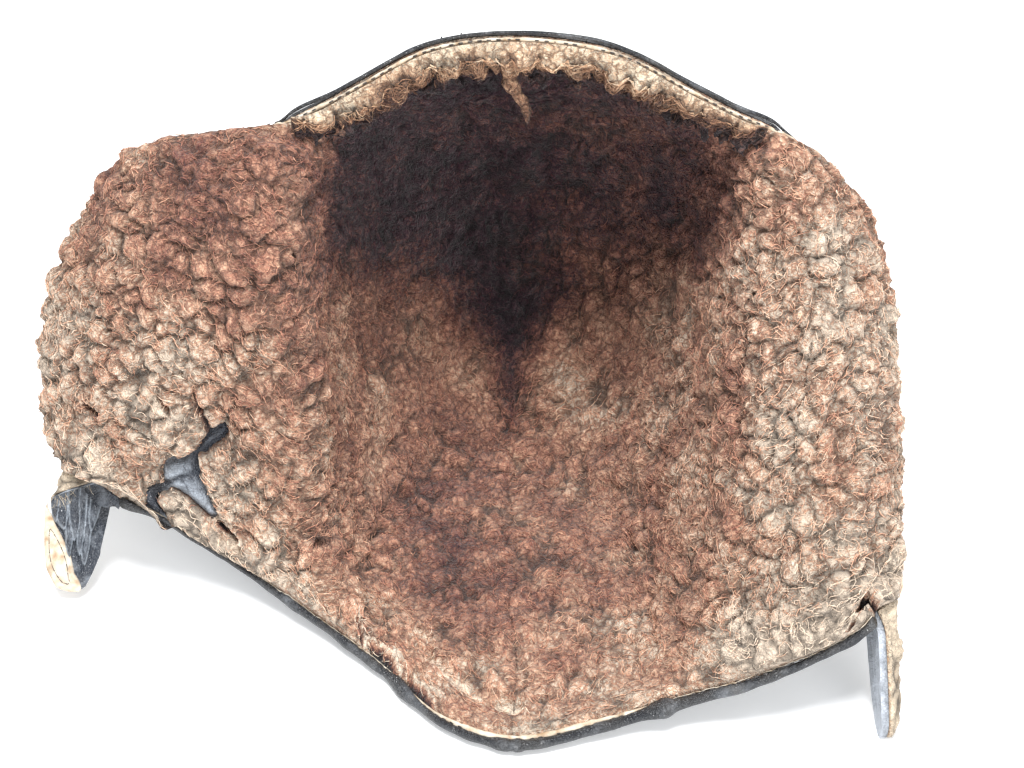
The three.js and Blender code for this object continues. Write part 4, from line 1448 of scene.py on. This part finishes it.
def hanging_locks():
    """Tapering locks that hang from the band's lip, and one long one where the seam ends."""
    rng = np.random.default_rng(44)
    count = HANGING_LOCKS
    column = np.sort(rng.integers(LOCK_MARGIN, band.s.shape[1] - LOCK_MARGIN, count))
    column[LONG_LOCK] = band.s.shape[1] // 2
    length = rng.uniform(2.0, 6.5, count)
    radius = rng.uniform(0.7, 1.9, count)
    length[LONG_LOCK], radius[LONG_LOCK] = LONG_LOCK_LENGTH, LONG_LOCK_RADIUS
    share = np.linspace(0, 1, LOCK_RINGS)[None, :]
    start = band.points[rng.integers(*LOCK_ROWS, count), column]
    sway = rng.normal(0, 0.35, (count, 3)) * [1, 0.5, 0]
    heading = unit(np.array([0, -0.3, -1]) + sway)
    curl = rng.normal(0, 1.1, (count, 3)) * [1, 1, 0]
    path = start[:, None] + heading[:, None] * (share * length[:, None])[..., None]
    path = path + curl[:, None] * (np.sin(share * 5 + rng.uniform(0, 6, (count, 1))))[..., None]
    uneven = 1 + rng.uniform(-0.2, 0.2, (count, LOCK_RINGS))
    width = radius[:, None] * np.sqrt(1 - 0.97 * share**1.6) * uneven
    points = lock_rings(path, heading, width)
    points = points + 0.45 * smooth_noise(points, 1.6, 45)
    piece = make_mesh("brow_locks", points.reshape(-1, 3), lock_faces())
    # Painted shade: each lock darkens towards its tip, as it hangs down into the hollow.
    lock_tip_shade = np.linspace(0, 0.3, LOCK_RINGS)[None, :, None] * np.ones((1, 1, LOCK_SIDES))
    tone = rng.uniform(0.1, 0.45, count)
    tone[LONG_LOCK] = LONG_LOCK_TONE
    tone = tone[:, None, None] - lock_tip_shade
    set_values(piece, "tone", tone.ravel())
    set_values(piece, "crease", np.ones(tone.size))
    print("brow_locks", count, "locks")
    dress(piece, brow_wool, "brow_fleece")


hanging_locks()
fibre_piece(
    "fibres_brow", band, count=2600, length=8.0, thickness=0.45, loft=1.6,
    material=brow_fibre, slot="brow_fleece", seed=32,
)

# %% [markdown]
# ## Leather panels
# From behind, the helmet is all leather: two side panels and a strip over the crown. Leather
# this old is never smooth. It has broad dents, finer creases, and a pucker beside each seam
# where the thread pulls it in. The outside gets the fine grid, because it is the side we see.

# %% Leather panels
TOPSTITCH = 3.4
INNER_CELLS = 30
OUTER_FINER = 4
SEAM_LAP = 0.4
THIN_AT_BROW = 0.8
OVER_TABLE = 0.05
STRIP_INNER_CELLS = (24, 6)
INSIDE_WEAR = 0.42


def leather_height(points, seam):
    """Thickness of the leather with its dents and seams, in millimetres."""
    dents = 0.7 * noise(points, 40, 51) + 0.45 * noise(points, 16, 52)
    fold = noise(points + 4 * smooth_noise(points, 20, 53), 13, 54)
    fine = noise(points + 3 * smooth_noise(points, 9, 57), 6, 58)
    creases = -0.9 * bell(fold, 0, 0.09) - 0.4 * bell(fine, 0, 0.08)
    puckers = 0.22 * noise(points, 3.2, 55) * bell(seam, 0, 5)
    groove = -0.4 * bell(seam, TOPSTITCH, 0.8)
    puffed = 0.55 * bell(seam, 1.4, 1.1)
    turned_in = -0.9 * bell(seam, 0, 0.55)
    return LEATHER + 0.5 + dents + creases + puckers + groove + puffed + turned_in, creases


def dents_of(points):
    """Ridges between the dents, where leather is rubbed first."""
    return ease(noise(points, 16, 52), 0.0, 0.6)


def leather_piece(name, place, cells, seam_distance, closes, node, t_end=1.0):
    s, t = even_grid(place, *cells, t_end)
    inner = skin(s, t)
    s, t = even_grid(place, cells[0] * OUTER_FINER, cells[1] * OUTER_FINER, t_end)
    at = frame_at(s, t)
    seam = seam_distance(s, t)
    height, creases = leather_height(at.point, seam)
    edge = ease(np.minimum(t, 1 - t), 0.0, 0.02)
    height = mix(LEATHER, height, edge)
    at_brow = near_brow(s) * (1 - ease(t, 0.06, 0.22))
    height = mix(height, THIN_AT_BROW, at_brow)
    closed = closes * np.sign(s - MIDDLE_S) * SEAM_LAP * (1 - ease(seam, 0, 2))
    outer = at.point + at.out * np.maximum(height, 0.7)[..., None] + at.along_s * closed[..., None]
    outer[..., 2] = np.maximum(outer[..., 2], OVER_TABLE)
    points, faces = layer(inner, outer, coarse_outside=False)
    piece = make_mesh(name, points, faces, sharp_deg=50)
    wear = 0.17 + 0.16 * bell(seam, 0, 1.6) + 0.16 * dents_of(at.point) + 0.06 * creases
    wear = wear + 0.16 * noise(at.point, 30, 56) + 0.35 * (1 - edge)
    inside = np.full(inner[..., 0].size, INSIDE_WEAR)
    set_values(piece, "wear", np.concatenate([inside, wear.ravel()]))
    print(name, len(faces), "faces")
    return dress(piece, panel_leather, "black_leather", node)


for side, name in ((-1, "left"), (1, "right")):
    leather_piece(
        f"skin_{name}", side_place(side), (INNER_CELLS, INNER_CELLS), side_seam_distance(side),
        -1, f"leather_{name}",
    )
leather_piece(
    "skin_strip", strip_s, STRIP_INNER_CELLS, strip_seam_distance, 1, "leather_strip", STRIP_POINT
)

# %% [markdown]
# ## Bound edges
# The raw edges of leather and fleece are bound with a strip of leather, rolled round them and
# stitched down. A roll is a tube along the edge. Noise makes it pinch and swell, as a roll does
# between its stitches.

# %% Bound edges
BROW_ROLL = 0.65
NECK_ROLL = 1.7
EDGE_GAP = 0.7
ROLL_EASE = 0.05
ROLL_SIDES = 14
ROLL_WIDER = 1.15
FACE_STATIONS, NECK_STATIONS = 520, 620
BUNCHED = ((0.395, 0.012), (0.497, 0.012), (0.625, 0.016))


def edge_frame(t, stations):
    """The skin's frame along an edge, with the roll's own averaged direction away from it."""
    s = np.linspace(0, 1, stations)
    at = frame_at(s, np.full(stations, t))
    near = [frame_at(np.clip(s + shift, 0, 1), np.full(stations, t)).along_t for shift in
            (-ROLL_EASE, 0, ROLL_EASE)]
    away = unit(sum(near)) * (-1 if t == 0 else 1)
    return s, at, away


def tube_along(centres, across, out, radii, sides):
    """A closed tube through centres, with two radii: along across, and along out."""
    angle = (np.arange(sides) + 0.5) * 2 * np.pi / sides
    wide, high = radii
    ring = across[:, None] * (np.sin(angle)[None, :] * wide[:, None])[..., None]
    ring = ring + out[:, None] * (np.cos(angle)[None, :] * high[:, None])[..., None]
    points = (centres[:, None] + ring).reshape(-1, 3)
    faces = []
    for n in range(len(centres) - 1):
        for k in range(sides):
            a, b = n * sides + k, n * sides + (k + 1) % sides
            faces.append((a, a + sides, b + sides, b))
    faces.append(tuple(range(sides)))
    faces.append(tuple(reversed(range((len(centres) - 1) * sides, len(centres) * sides))))
    return points, faces


def rolled_edge(name, t, radius, stations, node):
    s, at, away = edge_frame(t, stations)
    centres = at.point + away * (radius + EDGE_GAP * 0.5) + at.out * (LEATHER - radius)
    swell = 1 + 0.16 * noise(centres, 5, 61) + 0.1 * noise(centres, 16, 62)
    bunch = sum(bell(s, middle, reach) for middle, reach in (BUNCHED if t else ()))
    swell = swell + bunch * (0.7 + 0.35 * noise(centres, 2.6, 65))
    centres = centres + 0.35 * smooth_noise(centres, 14, 63)
    radii = (radius * ROLL_WIDER * swell, radius * swell)
    points, faces = tube_along(centres, away, at.out, radii, ROLL_SIDES)
    if t == 0:
        faces = [face[::-1] for face in faces]
    piece = make_mesh(name, points, faces)
    worn = 0.3 + 0.2 * noise(points, 9, 64)
    set_values(piece, "wear", worn)
    print(name, len(faces), "faces")
    return dress(piece, bound_leather, "binding_leather", node)


rolled_edge("roll_face", 0, BROW_ROLL, FACE_STATIONS, "face_binding")
rolled_edge("roll_neck", 1, NECK_ROLL, NECK_STATIONS, "neck_binding")

# %% [markdown]
# ## Cream hide and stitches along the edges
# Between the wool and the leather roll the cut edge of the hide shows, cream and frayed. The
# needle went through it every few millimetres, so short dark stitches sit on it. A stitch is a
# small six-sided bead of thread.

# %% Cream hide and stitches along the edges
HIDE_EDGE = 1.3
HIDE_STATIONS = 900
HIDE_SIDES = 8
FINE_STATIONS = 4000
BARE_MIDDLE, BARE_REACH = 0.51, 0.09
STITCH_LENGTH = 1.9
STITCH_PITCH = 3.3
STITCH_WIDTH = 0.6
STITCH_SIDES = 6
HIDE_COLOURS = [(0.3, (0.34, 0.23, 0.14)), (0.5, (0.53, 0.45, 0.35)), (0.7, (0.66, 0.60, 0.51))]
THREAD_COLOURS = [(0.3, (0.012, 0.011, 0.012)), (0.7, (0.09, 0.08, 0.075))]

hide, tree, shader = new_material("cream_hide", Roughness=0.85, Specular_IOR_Level=0.2)
stains = noise_node(tree, 260.0, 6.0).outputs[0]
tree.links.new(ramp_node(tree, stains, HIDE_COLOURS), shader["Base Color"])
nap = add_node(tree, "ShaderNodeBump", {"Height": stains, "Distance": 0.0006})
tree.links.new(nap.outputs[0], shader["Normal"])

thread, tree, shader = new_material("waxed_thread", Roughness=0.6)
twist = noise_node(tree, 900.0, 3.0).outputs[0]
tree.links.new(ramp_node(tree, twist, THREAD_COLOURS), shader["Base Color"])


def hide_edge(name, t, stations, slot):
    s, at, away = edge_frame(t, stations)
    frayed = noise(at.point, 2.0, 66) + 0.8 * noise(at.point, 7, 67)
    bare_nape = np.exp(-(((s - BARE_MIDDLE) / BARE_REACH) ** 4))
    bare = 0.45 if t == 0 else mix(0.15, 1.0, bare_nape)
    radius = HIDE_EDGE * bare * (1 + 0.4 * frayed)
    centres = at.point - at.out * (LAYER_GAP + 1.2)
    centres = centres + away * (0.3 + 0.5 * frayed)[..., None]
    points, faces = tube_along(centres, away, at.out, (radius * 0.8, radius), HIDE_SIDES)
    if t == 0:
        faces = [face[::-1] for face in faces]
    return dress(make_mesh(name, points, faces), hide, slot)


def stitches(name, starts, ahead, up, slot):
    """Beads of thread: each has a ring of six points at its middle and a point at both ends."""
    angle = np.arange(STITCH_SIDES) * 2 * np.pi / STITCH_SIDES
    beside = np.cross(ahead, up)
    ring = beside[:, None] * np.cos(angle)[None, :, None]
    ring = ring + up[:, None] * np.sin(angle)[None, :, None]
    rings = starts[:, None] + ring * STITCH_WIDTH / 2
    half = ahead[:, None] * STITCH_LENGTH / 2
    low, high = rings - half * 0.6, rings + half * 0.6
    points = np.concatenate([low, high, starts[:, None] - half, starts[:, None] + half], axis=1)
    faces = []
    first, last = 2 * STITCH_SIDES, 2 * STITCH_SIDES + 1
    for k in range(STITCH_SIDES):
        b = (k + 1) % STITCH_SIDES
        other_k, other_b = k + STITCH_SIDES, b + STITCH_SIDES
        faces += [(k, b, other_b, other_k), (b, k, first), (other_k, other_b, last)]
    each = points.shape[1]
    numbers = [[n * each + k for k in face] for n in range(len(starts)) for face in faces]
    print(name, len(starts), "stitches")
    return dress(make_mesh(name, points.reshape(-1, 3), numbers), thread, slot)


def every_stitch(line, margin):
    """Numbers of the points of a fine line at which a stitch sits."""
    run = np.concatenate([[0], np.cumsum(np.linalg.norm(np.diff(line, axis=0), axis=1))])
    return np.searchsorted(run, np.arange(margin, run[-1] - margin, STITCH_PITCH))


for name, t in (("face", 0.0), ("neck", 1.0)):
    hide_edge(f"hide_{name}", t, HIDE_STATIONS, "brow_fleece")
    _, at, away = edge_frame(t, FINE_STATIONS)
    every = every_stitch(at.point, margin=4)
    seat = at.point + away * 0.9 - at.out * (LAYER_GAP + 1.3)
    stitches(f"edge_stitches_{name}", seat[every], at.along_s[every], away[every], "binding_leather")

# %% [markdown]
# ## Topstitches outside
# Along each seam of the outside two rows of stitches hold the turned edges flat, one row on each
# panel. They lie in the groove that their thread has pressed into the leather.

# %% Topstitches outside
SEAM_ENDS = (0.025, 0.975)


def seam_line(side, off):
    """Stations along a seam of the outside, off millimetres beside it."""
    t = np.linspace(*SEAM_ENDS, 3000)
    edge = panel_s(side, 0.0, t)
    s = edge + side * off * frame_at(edge, t).s_per_mm
    return s, t


def outside_stitches():
    for side, off, name in ((-1, TOPSTITCH, "left"), (1, TOPSTITCH, "right"),
                            (-1, -TOPSTITCH, "strip_left"), (1, -TOPSTITCH, "strip_right")):
        s, t = seam_line(side, off)
        if off < 0:
            t = t[t < STRIP_NARROWS + 0.06]
            s = s[:len(t)]
        at = frame_at(s, t)
        height, _ = leather_height(at.point, np.full(len(t), TOPSTITCH))
        seat = at.point + at.out * (height + 0.12)[:, None]
        every = every_stitch(seat, margin=2)
        ahead = unit(np.gradient(seat, axis=0))
        seat[:, 2] = np.maximum(seat[:, 2], STITCH_WIDTH)
        stitches(f"topstitches_{name}", seat[every], ahead[every], at.out[every], "black_leather")


outside_stitches()

# %% [markdown]
# ## Chin tabs
# A tab hangs from each flap's corner and once met under the chin. It is leather folded double,
# backed with fleece. The left one has turned to show its leather, which has shrunk into long
# overlapping wrinkles. Its path starts flat on the flap's rim and turns as it hangs.

# %% Chin tabs
CHIN_TAB_WIDTH = 25.0
TAB_TWIST = {-1: math.radians(112), 1: math.radians(-12)}
TAB_TIP = {-1: (1.85, -0.64, 0.47), 1: (1.82, -0.98, 0.04)}
TAB_FLARE = {-1: 9.0, 1: 0.0}
TAB_GAP = 0.8
TAB_TURNED_AT = 0.2
TAB_TIP_WIDTH = 0.55
TAB_TIP_ROUND = 0.16
TAB_LENGTH = 42
TAB_LEATHER = 2.6
TAB_FLEECE = 5.0
ABOVE_FLOOR = 0.02


def turned_about(vector, axis, angle):
    """A vector turned about an axis, for many angles at once."""
    cosine, sine = np.cos(angle)[..., None], np.sin(angle)[..., None]
    return vector * cosine + np.cross(axis, vector) * sine + axis * (axis @ vector) * (1 - cosine)


def tab_point(side, i, j, distance):
    """A point of a tab: i from 0 to 1 across it, j from 0 to 1 down it, and a distance off it."""
    end = 0.0 if side < 0 else 1.0
    middle = frame_at(end, 0.5)
    root = middle.point + middle.along_s * side * TAB_GAP
    tip = placed(TAB_TIP[side], side)
    hang = unit(tip - root)

    def straight(share, turned, off):
        angle = TAB_TWIST[side] * turned
        width = CHIN_TAB_WIDTH * (i - 0.5) * mix(1, TAB_TIP_WIDTH, share**2)
        width = width - TAB_FLARE[side] * (1 - i) * np.clip(1 - share / 0.8, 0, 1) * turned
        width = width * np.sqrt(np.clip((1 - share) / TAB_TIP_ROUND, 0.05, 1))
        across = turned_about(middle.along_t, hang, angle) * width[..., None]
        outwards = turned_about(middle.out, hang, angle) * off[..., None]
        return root + (tip - root) * share[..., None] + across + outwards

    turned = np.sin(np.pi / 2 * np.clip(j / TAB_TURNED_AT, 0, 1))
    corner_width = np.linalg.norm(skin(end, 0.0) - skin(end, 1.0))
    rim = frame_at(np.full(i.shape, end), 0.5 + (i - 0.5) * CHIN_TAB_WIDTH / corner_width)
    seat = rim.point + rim.along_s * side * TAB_GAP + rim.out * distance[..., None]
    start = straight(np.zeros(i.shape), np.zeros(i.shape), distance)
    point = straight(j, turned, distance) + (seat - start) * (1 - turned)[..., None]
    point[..., 2] = np.maximum(point[..., 2], ABOVE_FLOOR)
    return point


def tab_grid(cells_across, cells_down, side):
    i, j = np.meshgrid(np.linspace(0, 1, cells_across + 1), np.linspace(0, 1, cells_down + 1))
    return (i if side < 0 else 1 - i), j


print("a tab is", CHIN_TAB_WIDTH, "mm wide at its root and about", TAB_LENGTH, "mm long")

# %% [markdown]
# ## The leather of the tabs
# The left tab's leather has folded into leaves that overlap like scales. Each leaf is a strip
# with a round end at its own level, and where two cross, the higher one shows. The right tab
# only has a few slanting folds. On both, the rims of the folds are rubbed grey. The right tab's
# leather is painted pale all over, as a painted reflection of the white table.

# %% The leather of the tabs
Leaf = namedtuple("Leaf", "middle half_width end level")
LEAVES = [
    Leaf(0.30, 0.13, 0.62, 2.6),
    Leaf(0.40, 0.12, 0.84, 1.5),
    Leaf(0.52, 0.10, 0.74, 2.1),
    Leaf(0.64, 0.12, 0.60, 2.9),
    Leaf(0.76, 0.10, 0.70, 1.4),
    Leaf(0.84, 0.12, 0.46, 2.4),
    Leaf(0.95, 0.10, 0.36, 3.1),
]
LEAF_ROUND = 0.13
TAB_CELLS = (72, 96)
TAB_FINER = 6
FOLDS_ACROSS = 5.2
PAINTED_REFLECTION = 0.35


def flat_on_tab(i, j):
    return np.stack([i * CHIN_TAB_WIDTH, j * TAB_LENGTH, 0 * i], -1)


def leaf_folds(i, j):
    """Height of overlapping leaves over the leather, and how near a point is to a leaf's rim."""
    on_tab = flat_on_tab(i, j)
    wobble = 0.03 * noise(on_tab, 7, 71)
    height, rim = np.zeros(i.shape), np.zeros(i.shape)
    for leaf in LEAVES:
        width = leaf.half_width * np.sqrt(np.clip((leaf.end - j) / LEAF_ROUND, 0, 1))
        inside = (width - np.abs(i + wobble - leaf.middle)) * CHIN_TAB_WIDTH
        top = 1.3 * leaf.level * ease(inside, 0, 0.7) * mix(0.7, 1, ease(inside, 0.5, 2.5))
        rim = np.where(top > height, bell(inside, 0.6, 0.45), rim)
        height = np.maximum(height, top)
    streaks = 0.3 * noise(on_tab * [1, 0.16, 1], 1.7, 76)
    return (height + streaks) * ease(j, 0.0, 0.12), rim


def slanting_folds(i, j):
    """Height of a few slanting folds, and how near a point is to the rim of one."""
    slant = i * FOLDS_ACROSS - 1.5 * j * (1 - i) + 0.4 * noise(flat_on_tab(i, j), 8, 71)
    across_fold = slant % 1
    fold = ease(across_fold, 0.0, 0.16) * (1 - 0.8 * across_fold)
    height = 0.7 * (fold - 0.4) * np.sin(np.pi * np.clip(j * 1.05, 0, 1))
    return height, ease(fold, 0.55, 0.95)


def tab_leather_piece(side, name):
    i, j = tab_grid(*TAB_CELLS, side)
    folds, rim = leaf_folds(i, j) if side < 0 else slanting_folds(i, j)
    folds = folds + 0.25 * noise(flat_on_tab(i, j), 2.5, 73)
    face = tab_point(side, i, j, TAB_LEATHER + folds * ease(np.minimum(i, 1 - i), 0, 0.08))
    i_back, j_back = tab_grid(*(cells // TAB_FINER for cells in TAB_CELLS), side)
    back = tab_point(side, i_back, j_back, np.zeros(i_back.shape))
    points, faces = layer(back, face, coarse_outside=False)
    piece = make_mesh(f"tab_{name}", points, faces, sharp_deg=60)
    wear = 0.26 + 0.4 * rim + 0.3 * ease(j, 0.85, 1.0) + 0.14 * ease(folds, 0.5, 2.5)
    # Painted reflection: the right tab is paler all over.
    wear = wear + (0.0 if side < 0 else PAINTED_REFLECTION)
    set_values(piece, "wear", np.concatenate([np.full(i_back.size, 0.4), wear.ravel()]))
    print(piece.name, len(faces), "faces")
    dress(piece, tab_leather if side < 0 else pale_reflecting_leather, "tab_leather", f"chin_tab_{name}")


print(len(LEAVES), "leaves on the left tab, and", FOLDS_ACROSS, "folds across the right one")

# %% [markdown]
# ## The wool of the tabs
# A tab's wool is cut shorter than the lining's, and it has faded to cream. It is the same kind of
# layer, on the other face of the tab, and it thins towards the tab's edges and tip. Both layers
# of each tab are made here, once their functions are ready.

# %% The wool of the tabs
TAB_WOOL_CELLS = (60, 90)
TAB_WOOL_TONE = 1.14


def tab_wool_piece(side, name):
    i, j = tab_grid(*TAB_WOOL_CELLS, side)
    rim = np.minimum(np.minimum(i, 1 - i) * 4, np.minimum(1 - j, 1) * 5)
    base = tab_point(side, i, j, np.full(i.shape, -LAYER_GAP - TAB_FLEECE))
    height, gap, _ = wool_locks(base, np.full(i.shape, 0.4))
    depth = TAB_FLEECE * mix(0.35, 1, ease(rim, 0, 1)) + 0.5 * height * ease(rim, 0, 0.6)
    wool = tab_point(side, i, j, -LAYER_GAP - np.maximum(depth, 0.6))
    i_back, j_back = tab_grid(*(cells // WOOL_FINER for cells in TAB_WOOL_CELLS), side)
    back = tab_point(side, i_back, j_back, np.full(i_back.shape, -LAYER_GAP))
    points, faces = layer(back, wool, coarse_outside=True)
    piece = make_mesh(f"tab_wool_{name}", points, faces)
    tone = TAB_WOOL_TONE + 0.3 * noise(wool, 7, 72)
    set_values(piece, "tone", np.concatenate([np.full(i_back.size, 0.9), tone.ravel()]))
    set_values(piece, "crease", np.concatenate([np.full(i_back.size, 0.8), gap.ravel()]))
    print(piece.name, len(faces), "faces")
    dress(piece, tab_wool, "tab_fleece", f"chin_tab_fleece_{name}")


for side, name in ((-1, "left"), (1, "right")):
    tab_leather_piece(side, name)
    tab_wool_piece(side, name)

# %% [markdown]
# ## The turned edge of the left tab
# The hide of the left tab curls round its edge and shows as a cream pad with an oval seam. The
# pad is a flattened tube down the edge that swells towards the tip. Loose threads hang from the
# frayed root above it.

# %% The turned edge of the left tab
PAD_HALF_WIDTH = 5.4
PAD_HALF_DEPTH = 2.4
PAD_FROM_J = 0.14
ROOT_DROP = 9.0
SEAM_THREAD = 0.45
FRAYED_THREAD = 0.26
PAD_STATIONS = 60
SEAM_STATIONS = 80
FRAYED_THREADS = 90


def tab_root():
    """The flap's leather, which runs on a little behind the root of the tab."""
    t, share = np.meshgrid(np.linspace(0.45, 1.0, 15), np.linspace(0, 1, 6))
    rim = frame_at(np.zeros(t.shape), t)
    tip, root = placed(TAB_TIP[-1], -1), skin(0.0, 0.5)
    fall = ROOT_DROP * share * mix(1, 0.25, ease(t, 0.8, 1.0))
    back = rim.point + unit(tip - root) * fall[..., None]
    front = back + rim.out * (LEATHER + 0.3 * noise(back, 4, 77))[..., None]
    points, faces = layer(back, front, coarse_outside=False)
    piece = make_mesh("tab_root_left", points, faces)
    set_values(piece, "wear", np.full(len(points), 0.35))
    dress(piece, tab_leather, "tab_leather")


def pad_seam(share, centres, across, out, wide, deep):
    """The oval seam on the pad, and the direction away from the pad at each of its points."""
    turn = np.linspace(0, 2 * np.pi, SEAM_STATIONS)
    along = 0.58 + 0.3 * np.cos(turn)
    at = np.interp(along, share, np.arange(PAD_STATIONS)).astype(int)
    aside = 0.55 * np.sin(turn)
    rise = np.sqrt(1 - aside**2) * deep[at] + 0.12
    seam = centres[at] + across[at] * (aside * wide[at])[:, None] + out[at] * rise[:, None]
    return seam, out[at]


def tab_pad():
    share = np.linspace(0, 1, PAD_STATIONS)
    j = mix(PAD_FROM_J, 1.0, share)
    i = mix(1.06, 0.8, share**1.5)
    centres = tab_point(-1, i, j, np.full(PAD_STATIONS, TAB_LEATHER))
    inner = tab_point(-1, i - 0.1, j, np.full(PAD_STATIONS, TAB_LEATHER))
    lower = tab_point(-1, i, j, np.full(PAD_STATIONS, 1.6))
    across = unit(centres - inner)
    out = unit(centres - lower)
    swell = np.sqrt(np.clip(4 * share * (1 - share), 0.02, 1))
    swell = swell * mix(0.3, 1.0, ease(share, 0.0, 0.65))
    wide, deep = PAD_HALF_WIDTH * swell, PAD_HALF_DEPTH * swell
    centres = centres + across * (wide * 0.25)[:, None]
    points, faces = tube_along(centres, across, out, (wide, deep), 20)
    points = points + 0.3 * smooth_noise(points, 4, 74)
    points[:, 2] = np.maximum(points[:, 2], ABOVE_FLOOR)
    dress(make_mesh("tab_hide_left", points, faces), hide, "tab_fleece")
    print("tab_hide_left", len(faces), "faces")
    return pad_seam(share, centres, across, out, wide, deep)


def thread_piece(name, paths, outs, width, material):
    points, faces = tubes(paths, outs, np.full(len(paths), width))
    points[:, 2] = np.maximum(points[:, 2], ABOVE_FLOOR)
    print(name, len(paths), "threads")
    dress(make_mesh(name, points, faces), material, "tab_fleece")


def frayed_root():
    rng = np.random.default_rng(75)
    count = FRAYED_THREADS
    i, j = rng.uniform(0, 1, count), rng.uniform(0, 0.14, count)
    start = tab_point(-1, i, j, np.full(count, 3.6))
    fall = rng.normal(0, 1, (count, 3)) * [3.6, 1.4, 2.0] + [0, -2.4, -4.4]
    bend = rng.normal(0, 1.8, (count, 3))
    step = np.linspace(0, 1, FIBRE_RINGS + 1)[None, :, None]
    paths = start[:, None] + fall[:, None] * step + bend[:, None] * np.sin(np.pi * step)
    outs = np.full(paths.shape, (0.3, -0.9, 0.3))
    thread_piece("frayed_root", paths, outs, FRAYED_THREAD, hide)


tab_root()
seam, seam_out = tab_pad()
pieces_of_seam = [slice(n, n + FIBRE_RINGS + 1) for n in range(0, SEAM_STATIONS - 5, FIBRE_RINGS)]
seam_paths = np.stack([seam[part] for part in pieces_of_seam])
seam_outs = np.stack([seam_out[part] for part in pieces_of_seam])
thread_piece("oval_seam", seam_paths, seam_outs, SEAM_THREAD, thread)
frayed_root()

# %% [markdown]
# ## Closing
# The helmet is whole, and the number of its dressed pieces is printed.

# %% Close the lesson
print(len(DRESSED), "pieces are dressed")
